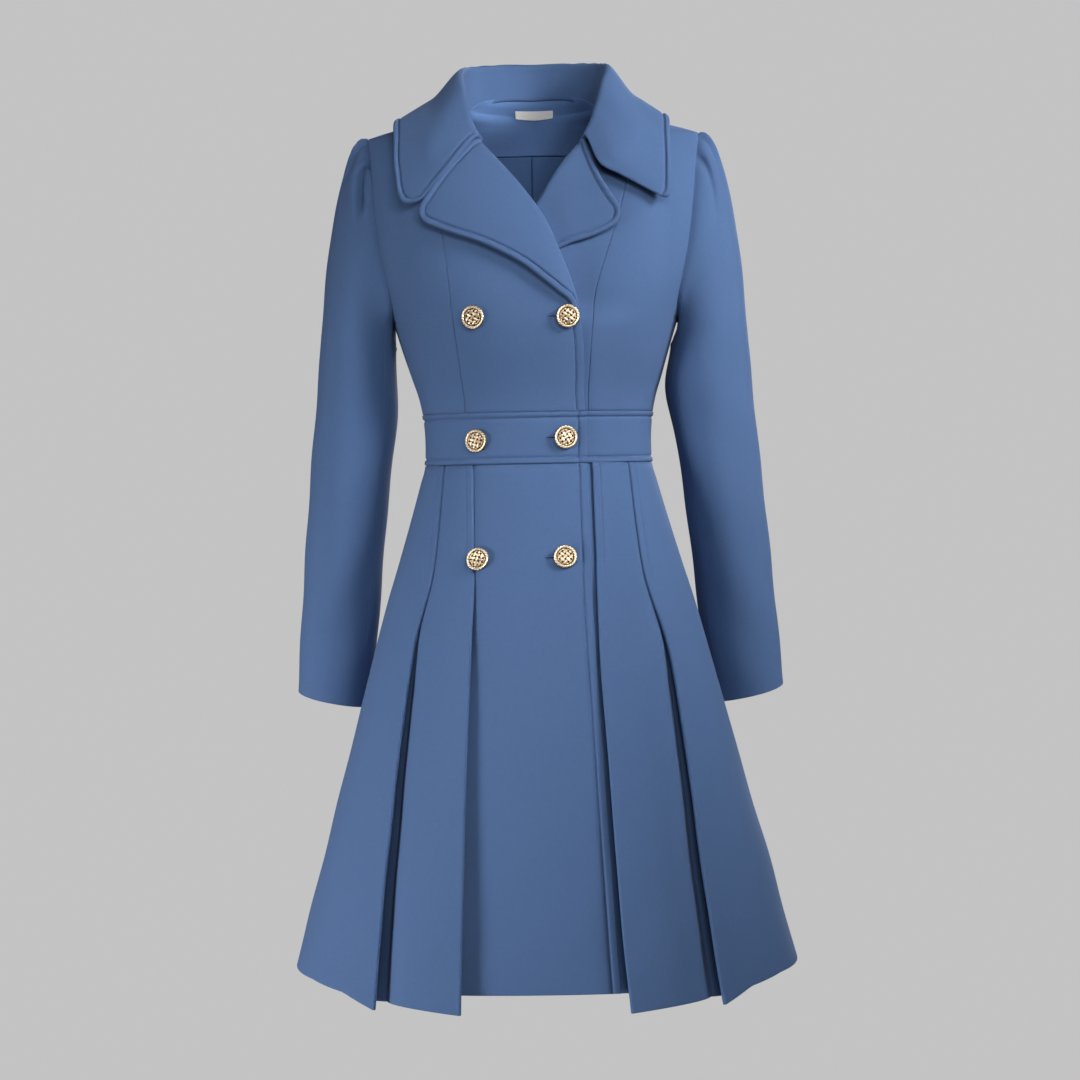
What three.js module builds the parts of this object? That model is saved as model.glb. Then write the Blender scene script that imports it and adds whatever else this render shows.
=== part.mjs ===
// A woman's flared, double-breasted coat, filled out as when worn: a fitted bodice with princess seams,
// a waistband, a skirt with knife pleats, two-piece sleeves with tucked heads, a wide notched collar with
// lapels, and six gilt buttons.
// Millimetres. +X is the wearer's left, -Y is the front, +Z is up. The origin is between the two side neck
// points, where the wearer's shoulders carry the coat.
import * as THREE from "three";

// Driving dimensions
const CLOTH = 2.2; // one wall of coating
const DOUBLED = 3.6; // collar and lapels, two layers of coating
const LINING = 1.0;
const SEAM = 0.3; // gap left between sewn pieces
const LAYER = CLOTH + 0.6; // from the middle of one layer of a fold to the middle of the next
const WAIST_TOP = -334; // upper edge of the waistband at the sides
const WAIST_LOW = -389; // lower edge of the waistband at the sides
const WAIST_TILT = 2.5; // how much lower the waist seams are at the front than at the sides
const STITCHED_LOW = -500; // where the stitching that holds the pleats shut ends
const HEM = -955; // the hem's mean height
const ARMHOLE_TOP = -29;
const ARMHOLE_LOW = -236;
const GORGE = -40; // where the collar ends and the lapel begins
const SLEEVE_START = -262; // the sleeve is a plain tube below this
const BUTTON_RADIUS = 12.5;
const QUARTER = Math.PI / 2;

// The filled-out form, one row for each level: half its width, how far it reaches to the front and to the
// back, how square its section is (2 is an ellipse), and where its middle lies in Y.
const FORM = [
  { z: 16, half: 70, front: 8, back: 66, power: 2.0, middle: 0 },
  { z: 6, half: 76, front: 10, back: 72, power: 2.0, middle: 0 },
  { z: 0, half: 79, front: 14, back: 75, power: 1.8, middle: 0 },
  { z: -6, half: 101, front: 24, back: 78, power: 1.5, middle: 0 },
  { z: -14, half: 130, front: 36, back: 81, power: 1.38, middle: 0 },
  { z: -22, half: 160, front: 46, back: 83.5, power: 1.38, middle: 0 },
  { z: -29, half: 182, front: 54, back: 85.5, power: 1.45, middle: 0 },
  { z: -36, half: 186.5, front: 61, back: 87, power: 1.6, middle: 0 },
  { z: -50, half: 187, front: 70, back: 90, power: 1.9, middle: 0 },
  { z: -75, half: 186.5, front: 83, back: 95, power: 2.2, middle: 0 },
  { z: -110, half: 185, front: 98, back: 100, power: 2.45, middle: 0 },
  { z: -150, half: 180, front: 112, back: 104, power: 2.5, middle: 0 },
  { z: -190, half: 171, front: 121, back: 104, power: 2.45, middle: 0 },
  { z: -215, half: 162.5, front: 123.5, back: 102.5, power: 2.4, middle: 0 },
  { z: -236, half: 155, front: 123, back: 100, power: 2.35, middle: 0 },
  { z: -262, half: 147, front: 118, back: 97, power: 2.3, middle: 0 },
  { z: -294, half: 137, front: 108, back: 92, power: 2.25, middle: 0 },
  { z: -318, half: 129.5, front: 101, back: 88.5, power: 2.2, middle: 0 },
  { z: -341, half: 125.4, front: 97.5, back: 87, power: 2.2, middle: 0 },
  { z: -365, half: 124, front: 97, back: 87, power: 2.2, middle: 0 },
  { z: -389, half: 124.5, front: 97.5, back: 87.5, power: 2.2, middle: 0 },
  { z: -410, half: 130, front: 101, back: 91, power: 2.2, middle: -1 },
  { z: -451, half: 141.5, front: 109, back: 100, power: 2.2, middle: -3 },
  { z: -500, half: 156, front: 119, back: 110, power: 2.2, middle: -6 },
  { z: -539, half: 168, front: 127, back: 118, power: 2.2, middle: -8 },
  { z: -671, half: 203.5, front: 150, back: 142, power: 2.2, middle: -13 },
  { z: -759, half: 227, front: 164, back: 157, power: 2.2, middle: -15 },
  { z: -847, half: 251, front: 177, back: 171, power: 2.2, middle: -17 },
  { z: -935, half: 273.5, front: 189, back: 184, power: 2.2, middle: -18 },
  { z: -970, half: 282, front: 194, back: 189, power: 2.2, middle: -18 },
];

// Lines drawn on the form. Each gives how far from the middle plane the line lies at a level.
const ARMHOLE_FRONT = [
  { z: -29, x: 182 }, { z: -45, x: 180 }, { z: -70, x: 177 }, { z: -92, x: 175 }, { z: -150, x: 167.5 },
  { z: -190, x: 160 }, { z: -216, x: 155 }, { z: -228, x: 154.3 }, { z: -236, x: 155 },
];
const ARMHOLE_BACK = [
  { z: -29, x: 182 }, { z: -45, x: 179 }, { z: -70, x: 175 }, { z: -92, x: 173 }, { z: -150, x: 167 },
  { z: -190, x: 160 }, { z: -216, x: 155.5 }, { z: -228, x: 154.6 }, { z: -236, x: 155 },
];
const NECK_FRONT = [
  { z: 0, x: 79 }, { z: -5, x: 77.5 }, { z: -12, x: 74 }, { z: -20, x: 70 }, { z: -30, x: 64 },
  { z: -40, x: 58 },
];
const NECK_AT_BACK = [
  { z: 0, x: 79 }, { z: 6, x: 72 }, { z: 11, x: 62 }, { z: 14, x: 50 }, { z: 16, x: 36 },
];
// The princess seams. The wearer's right front is pulled across, so its seam lies further out than the left.
const PRINCESS_RIGHT = [
  { z: -340, x: 75 }, { z: -300, x: 79 }, { z: -216, x: 88 }, { z: -152, x: 95 }, { z: -90, x: 104 },
  { z: -40, x: 112 }, { z: -22, x: 116 }, { z: -11.5, x: 120 },
];
const PRINCESS_LEFT = [
  { z: -340, x: 57 }, { z: -300, x: 59 }, { z: -214, x: 68 }, { z: -143, x: 88 }, { z: -90, x: 102 },
  { z: -40, x: 112 }, { z: -22, x: 116 }, { z: -11.5, x: 120 },
];
const PRINCESS_BACK = [
  { z: -340, x: 62 }, { z: -300, x: 66 }, { z: -214, x: 80 }, { z: -150, x: 92 }, { z: -90, x: 104 },
  { z: -40, x: 112 }, { z: -22, x: 116 }, { z: -11.5, x: 120 },
];
const PRINCESS_TOP = -11.5; // where the princess seams meet the shoulder seams

// The front openings: the line that each front is folded back on, then its edge down to the hem.
const OPENING_RIGHT = [
  { z: -40, x: -57 }, { z: -65, x: -38 }, { z: -114, x: 3 }, { z: -163, x: 26 }, { z: -213, x: 44 },
  { z: -240, x: 50 }, { z: -273, x: 53 }, { z: -340, x: 53.5 }, { z: -500, x: 57 }, { z: -700, x: 69 },
  { z: -860, x: 79 }, { z: -970, x: 86 },
];
const OPENING_LEFT = [
  { z: -40, x: -55 }, { z: -65, x: -35 }, { z: -114, x: -3 }, { z: -163, x: 25 }, { z: -213, x: 43 },
  { z: -240, x: 46 }, { z: -340, x: 47 }, { z: -970, x: 47 },
];
const ROLL_ROOM = 4.8; // the front stops this far inside the fold of its lapel
const LAPEL_LOW = { from: -222, to: -232 }; // the front reaches its own edge again between these levels

// The pleats' folds, as distances from the middle plane, for each side of the front and for the back.
const FOLDS_RIGHT = [
  { z: -389, first: 70, second: 102 }, { z: -500, first: 69.5, second: 113 },
  { z: -577, first: 73, second: 134 }, { z: -705, first: 79, second: 153 },
  { z: -850, first: 84, second: 169 }, { z: -960, first: 87, second: 179 },
];
const FOLDS_LEFT = [
  { z: -389, first: 61.5, second: 100.5 }, { z: -500, first: 64.5, second: 113 },
  { z: -592, first: 67, second: 140 }, { z: -700, first: 74, second: 156 },
  { z: -859, first: 84, second: 175 }, { z: -960, first: 93, second: 190 },
];
const FOLDS_BACK = [
  { z: -389, first: 62, second: 98 }, { z: -500, first: 65, second: 112 },
  { z: -590, first: 70, second: 138 }, { z: -700, first: 77, second: 156 },
  { z: -860, first: 86, second: 174 }, { z: -960, first: 91, second: 186 },
];
const UNDERLAY = { top: 26, hem: 38 }; // how much cloth lies hidden behind each fold
const FOLD_DEPTH = 28; // how far a panel falls back behind the next fold at the hem
const FALL_BACK = 2.2; // how late it does so, as a power of the way across
// How much of the hem is above its mean height, from the second fold round to the side seam.
const SIDE_RISE = { fold: -3, near: 12, far: 20, side: 25 };
const HEM_RISE = { centre: 15, fold: -5, panel: 6 };

// The sleeve below its head, one row for each level.
const SLEEVE = [
  { z: -262, outer: 236, inner: 152.5, depth: 58, middle: 4 },
  { z: -318, outer: 241.5, inner: 152, depth: 57, middle: 8 },
  { z: -423, outer: 251.5, inner: 163.5, depth: 54, middle: 18 },
  { z: -540, outer: 262.5, inner: 176, depth: 50, middle: 38 },
  { z: -660, outer: 274.5, inner: 190.5, depth: 44, middle: 66 },
];
const CUFF = { z: -646, inward: 9, forward: 5 }; // the cuff's height, and how its plane tilts
const SWAY = 4; // both cuffs hang this far towards the wearer's right
const TUCKS = [-40, -15, 15, 40]; // degrees from the top of the sleeve head
const TUCK = { depth: 3.5, width: 9, length: 62 };

// The collar, one row for each station from its right front end round the back of the neck to its left front
// end. Each row gives the neck seam, the fold at the top of the stand, the middle of the fall, and the outer edge.
const COLLAR = [
  { neck: [-56, -53, -36], roll: [-60, -65, -33], fall: [-87, -84, -66], edge: [-119, -95, -112] },
  { neck: [-60, -48, -30], roll: [-64, -60, -24], fall: [-102, -79, -64], edge: [-139, -86, -109] },
  { neck: [-64, -41, -23], roll: [-69, -49, -6], fall: [-108, -66, -42], edge: [-147, -68, -78] },
  { neck: [-70, -27, -13], roll: [-74, -30, 20], fall: [-108, -42, -12], edge: [-150, -44, -40] },
  { neck: [-74, -2, 3], roll: [-78, 4, 44], fall: [-107, -4, 14], edge: [-149, -8, -12] },
  { neck: [-62, 31, 12], roll: [-67, 44, 55], fall: [-94, 60, 22], edge: [-118, 70, -30] },
  { neck: [-34, 51, 18], roll: [-38, 64, 60], fall: [-54, 84, 24], edge: [-66, 94, -34] },
  { neck: [0, 61, 19], roll: [0, 72, 61], fall: [0, 92, 26], edge: [0, 100, -35] },
  { neck: [34, 51, 18], roll: [40, 64, 60], fall: [56, 84, 24], edge: [68, 94, -34] },
  { neck: [62, 31, 12], roll: [72, 44, 56], fall: [98, 60, 22], edge: [120, 70, -30] },
  { neck: [74, -2, 3], roll: [83, 4, 46], fall: [109, -4, 14], edge: [147, -10, -13] },
  { neck: [70, -27, -13], roll: [77, -30, 22], fall: [110, -46, -12], edge: [149, -50, -45] },
  { neck: [64, -41, -23], roll: [70, -49, -6], fall: [106, -73, -42], edge: [149, -76, -80] },
  { neck: [60, -48, -30], roll: [64, -60, -24], fall: [98, -87, -66], edge: [148, -86, -104] },
  { neck: [56, -53, -36], roll: [59, -65, -33], fall: [86, -88, -78], edge: [144, -90, -112] },
];

// The lapels, one row for each station from the gorge to the break: the fold, the outer edge, how far the line
// between them bows upwards, and how far the middle and the edge stand off the front.
const LAPEL_RIGHT = [
  { roll: [-58, -40], edge: [-119, -122], bow: 3, middle: 6, rim: 4 },
  { roll: [-53, -45], edge: [-120, -131], bow: 3, middle: 6, rim: 4 },
  { roll: [-46, -55], edge: [-112, -140], bow: 3, middle: 6, rim: 3.5 },
  { roll: [-32, -71], edge: [-86, -149], bow: 2, middle: 6, rim: 3 },
  { roll: [-10, -98], edge: [-50, -161], bow: 1, middle: 5, rim: 2.5 },
  { roll: [12, -131], edge: [-11, -182], bow: 0, middle: 4, rim: 2 },
  { roll: [27, -165], edge: [14, -200], bow: 0, middle: 3, rim: 1.5 },
  { roll: [37, -192], edge: [30, -212], bow: 0, middle: 1.5, rim: 1 },
  { roll: [43, -210], edge: [38, -221], bow: 0, middle: 0.5, rim: 0.5 },
];
const LAPEL_LEFT = [
  { roll: [56, -41], edge: [97, -127], bow: -5, middle: 8, rim: 8 },
  { roll: [51, -46], edge: [95, -136], bow: -4, middle: 8, rim: 8 },
  { roll: [45, -54], edge: [87, -142], bow: -3, middle: 7, rim: 6 },
  { roll: [32, -70], edge: [67, -150], bow: -1, middle: 6, rim: 4 },
  { roll: [12, -99], edge: [38, -158], bow: 0, middle: 1.5, rim: 1 },
  { roll: [-10, -135], edge: [8, -174], bow: 0, middle: 0.3, rim: 0 },
  { roll: [-26, -167], edge: [-17, -193], bow: 0, middle: 0, rim: 0 },
  { roll: [-40, -205], edge: [-37, -217], bow: 0, middle: 0, rim: 0 },
];
const TURN = 3; // how far from its fold the cloth of a lapel lies flat again
const HOOK = 7; // how far from there its facing reaches inside the front

// The buttons: two columns on the lapping front.
const BUTTONS = [
  { name: "button_upper_outer", x: -63, z: -236 },
  { name: "button_upper_inner", x: 36.5, z: -237 },
  { name: "button_waist_outer", x: -63, z: -366 },
  { name: "button_waist_inner", x: 31.7, z: -364 },
  { name: "button_lower_outer", x: -62.5, z: -493 },
  { name: "button_lower_inner", x: 29.2, z: -492 },
];

const COLOURS = { cloth: 0x4a6693, lining: 0x40598a, gilt: 0xd9a441, label: 0xe9e6df };

// Interpolation

const lerp = (a, b, t) => a + (b - a) * t;
const clamp01 = (t) => Math.min(1, Math.max(0, t));
const smooth = (low, high, value) => {
  const t = clamp01((value - low) / (high - low));
  return t * t * (3 - 2 * t);
};

// A smooth curve through one column of a table, with no overshoot between rows.
function column(table, key, name) {
  const rows = [...table].sort((a, b) => a[key] - b[key]);
  const x = rows.map((row) => row[key]);
  const y = rows.map((row) => row[name]);
  const slope = x.slice(1).map((v, i) => (y[i + 1] - y[i]) / (v - x[i]));
  const tangent = y.map((_, i) => {
    if (i === 0) return slope[0];
    if (i === y.length - 1) return slope[i - 1];
    if (slope[i - 1] * slope[i] <= 0) return 0;
    return (2 * slope[i - 1] * slope[i]) / (slope[i - 1] + slope[i]);
  });
  return (at) => {
    if (at <= x[0]) return y[0];
    if (at >= x[x.length - 1]) return y[y.length - 1];
    let i = 0;
    while (at > x[i + 1]) i += 1;
    const span = x[i + 1] - x[i];
    const t = (at - x[i]) / span;
    const t2 = t * t;
    const t3 = t2 * t;
    return (
      y[i] * (2 * t3 - 3 * t2 + 1) + y[i + 1] * (3 * t2 - 2 * t3) +
      span * (tangent[i] * (t3 - 2 * t2 + t) + tangent[i + 1] * (t3 - t2))
    );
  };
}

const half = column(FORM, "z", "half");
const front = column(FORM, "z", "front");
const back = column(FORM, "z", "back");
const power = column(FORM, "z", "power");
const middle = column(FORM, "z", "middle");

// The form

// The angle is 0 at the front middle, a quarter turn at the wearer's left side, and a half turn at the back.
function bareForm(angle, z) {
  const s = Math.sin(angle);
  const n = power(z);
  const reach = Math.pow(Math.max(0, 1 - Math.pow(Math.abs(s), n)), 1 / n);
  const y = Math.cos(angle) >= 0 ? -front(z) * reach : back(z) * reach;
  return new THREE.Vector3(half(z) * s, middle(z) + y, z);
}

function normalOf(surface, u, v, du, dv) {
  const along = surface(u + du, v).sub(surface(u - du, v));
  const up = surface(u, v + dv).sub(surface(u, v - dv));
  return along.cross(up).normalize();
}

// A point on the form, moved inwards by a depth. Beside a seam it moves along the normal of the seam.
function onForm(angle, z, depth, normalAngle = angle) {
  const p = bareForm(angle, z);
  return depth ? p.addScaledVector(normalOf(bareForm, normalAngle, z, 2e-3, 0.5), -depth) : p;
}

// The angle that lies half a seam's gap beside a line, on its rising or falling side.
function besideSeam(angle, z, direction) {
  const line = bareForm(angle, z);
  let step = 0;
  while (bareForm(angle + direction * step, z).distanceTo(line) < SEAM / 2) step += 2e-4;
  return angle + direction * step;
}

// The angle of the point that is x from the middle plane, on the front or on the back.
const frontAngle = (x, z) => Math.asin(THREE.MathUtils.clamp(x / half(z), -1, 1));
const backAngle = (x, z) => Math.PI - frontAngle(x, z);

// How far the wearer's left front lies inside the form, under the right front and beside its own lapel.
function underlap(x, z) {
  const lapelRoom = 9.6 * smooth(-250, -215, z) * (1 - smooth(-112, -56, z));
  return (CLOTH + 0.9 + lapelRoom) * (1 - smooth(45, 125, x));
}

const waistTop = (angle) => WAIST_TOP - WAIST_TILT * Math.cos(angle);
const waistLow = (angle) => WAIST_LOW - WAIST_TILT * Math.cos(angle);

// Solids

// One closed solid between two grids of points that match, both given in rows.
function shell(outer, inner) {
  const rows = outer.length;
  const cols = outer[0].length;
  const points = [...outer.flat(), ...inner.flat()];
  const at = (i, j) => i * cols + j;
  const under = (i, j) => rows * cols + at(i, j);
  const index = [];
  const quad = (a, b, c, d) => index.push(a, b, c, a, c, d);
  for (let i = 0; i < rows - 1; i += 1) {
    for (let j = 0; j < cols - 1; j += 1) {
      quad(at(i, j), at(i, j + 1), at(i + 1, j + 1), at(i + 1, j));
      quad(under(i, j), under(i + 1, j), under(i + 1, j + 1), under(i, j + 1));
    }
    quad(at(i, 0), at(i + 1, 0), under(i + 1, 0), under(i, 0));
    quad(at(i + 1, cols - 1), at(i, cols - 1), under(i, cols - 1), under(i + 1, cols - 1));
  }
  for (let j = 0; j < cols - 1; j += 1) {
    quad(at(0, j + 1), at(0, j), under(0, j), under(0, j + 1));
    quad(at(rows - 1, j), at(rows - 1, j + 1), under(rows - 1, j + 1), under(rows - 1, j));
  }
  const geometry = new THREE.BufferGeometry();
  geometry.setAttribute("position", new THREE.Float32BufferAttribute(points.flatMap((p) => p.toArray()), 3));
  geometry.setIndex(index);
  if (volumeOf(points, index) < 0) {
    for (let i = 0; i < index.length; i += 3) [index[i + 1], index[i + 2]] = [index[i + 2], index[i + 1]];
    geometry.setIndex(index);
  }
  geometry.computeVertexNormals();
  return geometry;
}

function volumeOf(points, index) {
  let sum = 0;
  for (let i = 0; i < index.length; i += 3) {
    const [a, b, c] = [points[index[i]], points[index[i + 1]], points[index[i + 2]]];
    sum += a.dot(new THREE.Vector3().crossVectors(b, c));
  }
  return sum / 6;
}

// A wall of the given thickness whose middle runs through a grid of points.
function sheetWall(grid, thickness) {
  const rows = grid.length;
  const cols = grid[0].length;
  const normals = grid.map((row, i) =>
    row.map((_, j) => {
      const along = row[Math.min(cols - 1, j + 1)].clone().sub(row[Math.max(0, j - 1)]);
      const up = grid[Math.min(rows - 1, i + 1)][j].clone().sub(grid[Math.max(0, i - 1)][j]);
      return along.cross(up).normalize();
    }),
  );
  const moved = (by) => grid.map((row, i) => row.map((p, j) => p.clone().addScaledVector(normals[i][j], by)));
  return shell(moved(thickness / 2), moved(-thickness / 2));
}

const steps = (from, to, count) => Array.from({ length: count + 1 }, (_, i) => lerp(from, to, i / count));

function piece(name, geometry, colour, metalness = 0) {
  const roughness = metalness ? 0.3 : 0.9;
  const material = new THREE.MeshStandardMaterial({ color: colour, roughness, metalness });
  const mesh = new THREE.Mesh(geometry, material);
  mesh.name = name;
  return mesh;
}

const clothPiece = (name, geometry) => piece(name, geometry, COLOURS.cloth);

// Bodice

// The level of a row between the waist seam and the panel's top, at an angle.
const bodiceLevel = (level, angle) => {
  const waist = waistTop(angle) + SEAM / 2;
  return level > WAIST_TOP + 40 ? level : lerp(waist, level, clamp01((level - WAIST_TOP) / 40));
};

// A panel of the bodice between two lines, each an angle at a level, through the given levels.
function panel(levels, from, to, columns, depth) {
  const grid = (extra) =>
    levels.map((level) => {
      const [a, b] = [besideSeam(from(level), level, 1), besideSeam(to(level), level, -1)];
      return steps(0, 1, columns).map((t) => {
        const angle = lerp(a, b, t);
        const z = bodiceLevel(level, angle);
        const seam = t === 0 ? from(level) : t === 1 ? to(level) : angle;
        return onForm(angle, z, depth(half(z) * Math.sin(angle), z) + extra, seam);
      });
    });
  return shell(grid(0), grid(CLOTH));
}

const BODICE_LEVELS = [
  -334, -318, -296, -268, -238, -214, -188, -160, -130, -104, -84, -68, -54, -40.5, -30, -22, -16, -12.2,
];
const LOW_LEVELS = BODICE_LEVELS.slice(0, -1);
const SHOULDER_LEVELS = [-12.2, -8, -4, -1.5];
const NECK_LEVELS = [2, 6, 10, 13, 15.8];

// The edge of a side panel: the side seam, the armhole above it, and the shoulder seam on top.
function outerAngle(table, z) {
  if (z <= ARMHOLE_LOW || z >= ARMHOLE_TOP) return QUARTER;
  return frontAngle(column(table, "z", "x")(z), z);
}

const armholeFront = (z) => outerAngle(ARMHOLE_FRONT, z);
const armholeBack = (z) => outerAngle(ARMHOLE_BACK, z);
const princess = (table) => (z) => (z >= PRINCESS_TOP ? QUARTER : frontAngle(column(table, "z", "x")(z), z));

// The inner edge of a front: its edge, then the fold of the lapel, then the neck seam.
function openingAngle(opening, z) {
  if (z > GORGE) return -frontAngle(-column(NECK_FRONT, "z", "x")(z), z);
  const line = column(opening, "z", "x");
  const slope = line(z + 1) - line(z);
  const room = ROLL_ROOM * Math.hypot(1, slope) * smooth(LAPEL_LOW.to, LAPEL_LOW.from, z);
  return frontAngle(-(line(z) - room), z);
}

// Each side is described for the wearer's left and mirrored for the right. A front's edge lies across the
// middle plane.
function bodiceHalf(side, princessFront, opening, depth) {
  const name = side < 0 ? "right" : "left";
  const turned = (line) => (z) => side * line(z);
  const order = (a, b) => (side > 0 ? [turned(a), turned(b)] : [turned(b), turned(a)]);
  const across = (line) => (z) => Math.PI - line(z);
  const inside = (z) => openingAngle(opening, z);
  const seam = princess(princessFront);
  const backSeam = princess(PRINCESS_BACK);
  const centreBack = () => Math.PI;
  const neckBack = (z) => (z <= 0 ? QUARTER : frontAngle(column(NECK_AT_BACK, "z", "x")(z), z));
  const plain = () => 0;
  const frontLevels = [...LOW_LEVELS, ...SHOULDER_LEVELS];
  const backLevels = [...LOW_LEVELS, ...SHOULDER_LEVELS, ...NECK_LEVELS];
  const backEdge = (z) => (z >= PRINCESS_TOP ? neckBack(z) : backSeam(z));
  const backSide = order(across(armholeBack), across(backSeam));
  return [
    clothPiece(`front_centre_${name}`, panel(frontLevels, ...order(inside, seam), 8, depth)),
    clothPiece(`front_side_${name}`, panel(BODICE_LEVELS, ...order(seam, armholeFront), 5, depth)),
    clothPiece(`back_side_${name}`, panel(BODICE_LEVELS, ...backSide, 5, plain)),
    clothPiece(`back_centre_${name}`, panel(backLevels, ...order(across(backEdge), centreBack), 5, plain)),
  ];
}

// Waistband

// A stretch of the band between two angles. Where it laps under the other front it lies deeper.
function bandPiece(name, from, to, columns, depth) {
  const [a, b] = [besideSeam(from, WAIST_TOP, 1), besideSeam(to, WAIST_TOP, -1)];
  const grid = (extra) =>
    [0, 0.5, 1].map((t) =>
      steps(a, b, columns).map((angle, i) => {
        const z = lerp(waistLow(angle) + SEAM / 2, waistTop(angle) - SEAM / 2, t);
        const seam = i === 0 ? from : i === columns ? to : angle;
        return onForm(angle, z, depth(half(z) * Math.sin(angle), z) + extra, seam);
      }),
    );
  return clothPiece(name, shell(grid(0), grid(CLOTH)));
}

function waistband() {
  const level = (WAIST_TOP + WAIST_LOW) / 2;
  const edge = (opening) => frontAngle(column(opening, "z", "x")(level), level);
  return [
    bandPiece("band_right", -QUARTER, edge(OPENING_RIGHT), 12, () => 0),
    bandPiece("band_left", -edge(OPENING_LEFT), QUARTER, 12, underlap),
    bandPiece("band_back", QUARTER, 3 * QUARTER, 14, () => 0),
  ];
}

// Skirt

// One row of a skirt piece, from its start across its two pleats to the side seam, as keys along the middle of
// the cloth: an angle from the middle plane, a depth inside the form, and how much the hem is raised there. The
// steps column says how many stretches lead to the key, and the power how late the depth grows on the way to it.
function pleatKeys(z, folds, start, depths) {
  const down = clamp01((STITCHED_LOW - z) / (STITCHED_LOW - HEM));
  const open = Math.pow(down, 0.85);
  const share = clamp01((WAIST_LOW - z) / (WAIST_LOW - HEM));
  const shut = 2 * LAYER;
  const middleOf = CLOTH / 2;
  const hidden = lerp(UNDERLAY.top, UNDERLAY.hem, share) / half(z);
  const first = frontAngle(column(folds, "z", "first")(z), z);
  const second = frontAngle(column(folds, "z", "second")(z), z);
  const keys = [{ angle: start, depth: lerp(depths.top, depths.hem, open), rise: HEM_RISE.centre, steps: 0 }];
  const addPleat = (angle, behind, next, nextDepth, rise, foldRise) => {
    const under = angle + hidden;
    const above = nextDepth * Math.pow(hidden / (next - angle), FALL_BACK);
    const deepest = Math.max(behind, above + shut);
    const tip = LAYER / 2 / half(z);
    keys.push({ angle, depth: behind, rise, steps: 5, power: FALL_BACK });
    keys.push({ angle: under, depth: deepest, rise, steps: 2 });
    keys.push({ angle: under + tip, depth: deepest - LAYER / 2, rise, steps: 1 });
    keys.push({ angle: under, depth: deepest - LAYER, rise, steps: 1 });
    keys.push({ angle: angle + tip / 2, depth: LAYER, rise: foldRise, steps: 2 });
    keys.push({ angle: angle - tip / 2, depth: LAYER / 2, rise: foldRise, steps: 1 });
    keys.push({ angle: angle + tip / 2, depth: 0, rise: foldRise, steps: 1 });
  };
  const [firstBehind, secondBehind] = [lerp(shut, FOLD_DEPTH - 2, open), lerp(shut, FOLD_DEPTH, open)];
  addPleat(first, firstBehind, second, secondBehind, HEM_RISE.centre, HEM_RISE.fold);
  addPleat(second, secondBehind, QUARTER, 0, HEM_RISE.panel, SIDE_RISE.fold);
  const rest = QUARTER - SEAM / 2 / half(z) - second;
  keys.push({ angle: second + rest * 0.2, depth: 0, rise: SIDE_RISE.near, steps: 1 });
  keys.push({ angle: second + rest * 0.5, depth: 0, rise: SIDE_RISE.far, steps: 2 });
  keys.push({ angle: second + rest, depth: 0, rise: SIDE_RISE.side, steps: 3 });
  return keys.map((key) => ({ ...key, depth: key.depth + middleOf }));
}

const SKIRT_SHARES = [0, 0.1, 0.195, 0.28, 0.38, 0.5, 0.64, 0.82, 1];

// A skirt piece on one side of the front (facing 1) or of the back (facing -1).
function skirtPiece(name, side, facing, folds, startAt, depths) {
  const grid = SKIRT_SHARES.map((share) => {
    const level = lerp(WAIST_LOW, HEM, share);
    const keys = pleatKeys(level, folds, startAt(level), depths);
    const row = [];
    keys.forEach((key, k) => {
      const before = keys[Math.max(0, k - 1)];
      for (let i = k === 0 ? 0 : 1; i <= key.steps; i += 1) {
        const t = key.steps ? i / key.steps : 0;
        const angle = lerp(before.angle, key.angle, t);
        const turned = facing > 0 ? side * angle : Math.PI - side * angle;
        const top = waistLow(turned) - SEAM / 2;
        const z = lerp(top, HEM + lerp(before.rise, key.rise, t), share);
        row.push(onForm(turned, z, lerp(before.depth, key.depth, Math.pow(t, key.power ?? 1))));
      }
    });
    return row;
  });
  return clothPiece(name, sheetWall(grid, CLOTH));
}

function skirt() {
  const edge = (opening) => (z) => frontAngle(-column(opening, "z", "x")(z), z);
  const centreBack = (z) => SEAM / 2 / half(z);
  const lapping = { top: 0, hem: 19 };
  const lappedUnder = { top: 8.4, hem: 29 };
  const plain = { top: 0, hem: 20 };
  return [
    skirtPiece("skirt_front_right", -1, 1, FOLDS_RIGHT, edge(OPENING_RIGHT), lapping),
    skirtPiece("skirt_front_left", 1, 1, FOLDS_LEFT, edge(OPENING_LEFT), lappedUnder),
    skirtPiece("skirt_back_right", -1, -1, FOLDS_BACK, centreBack, plain),
    skirtPiece("skirt_back_left", 1, -1, FOLDS_BACK, centreBack, plain),
  ];
}

// Sleeves

// The armhole of the wearer's left side: a turn of 0 at the shoulder, a quarter at the front, and a half at
// the underarm.
function armhole(turn) {
  const centre = (ARMHOLE_TOP + ARMHOLE_LOW) / 2;
  const reach = (ARMHOLE_TOP - ARMHOLE_LOW) / 2;
  const z = centre + reach * Math.cos(turn);
  const angle = Math.sin(turn) >= 0 ? armholeFront(z) : Math.PI - armholeBack(z);
  return bareForm(angle, z);
}

const sleeveColumns = ["outer", "inner", "depth", "middle"].map((name) => column(SLEEVE, "z", name));

function sleeveRing(turn, z) {
  const [outer, inner, depth, mid] = sleeveColumns.map((curve) => curve(z));
  const x = (outer + inner) / 2 + ((outer - inner) / 2) * Math.cos(turn);
  return new THREE.Vector3(x, mid - depth * Math.sin(turn), z);
}

// How far the cloth of the sleeve head dips at its tucks.
function tuckDip(turn, fromSeam) {
  const degrees = THREE.MathUtils.radToDeg(Math.atan2(Math.sin(turn), Math.cos(turn)));
  const dip = TUCKS.reduce((sum, at) => sum + Math.max(0, 1 - Math.abs(degrees - at) / TUCK.width), 0);
  return TUCK.depth * dip * (1 - smooth(0, TUCK.length, fromSeam)) * smooth(-14, 10, fromSeam);
}

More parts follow.
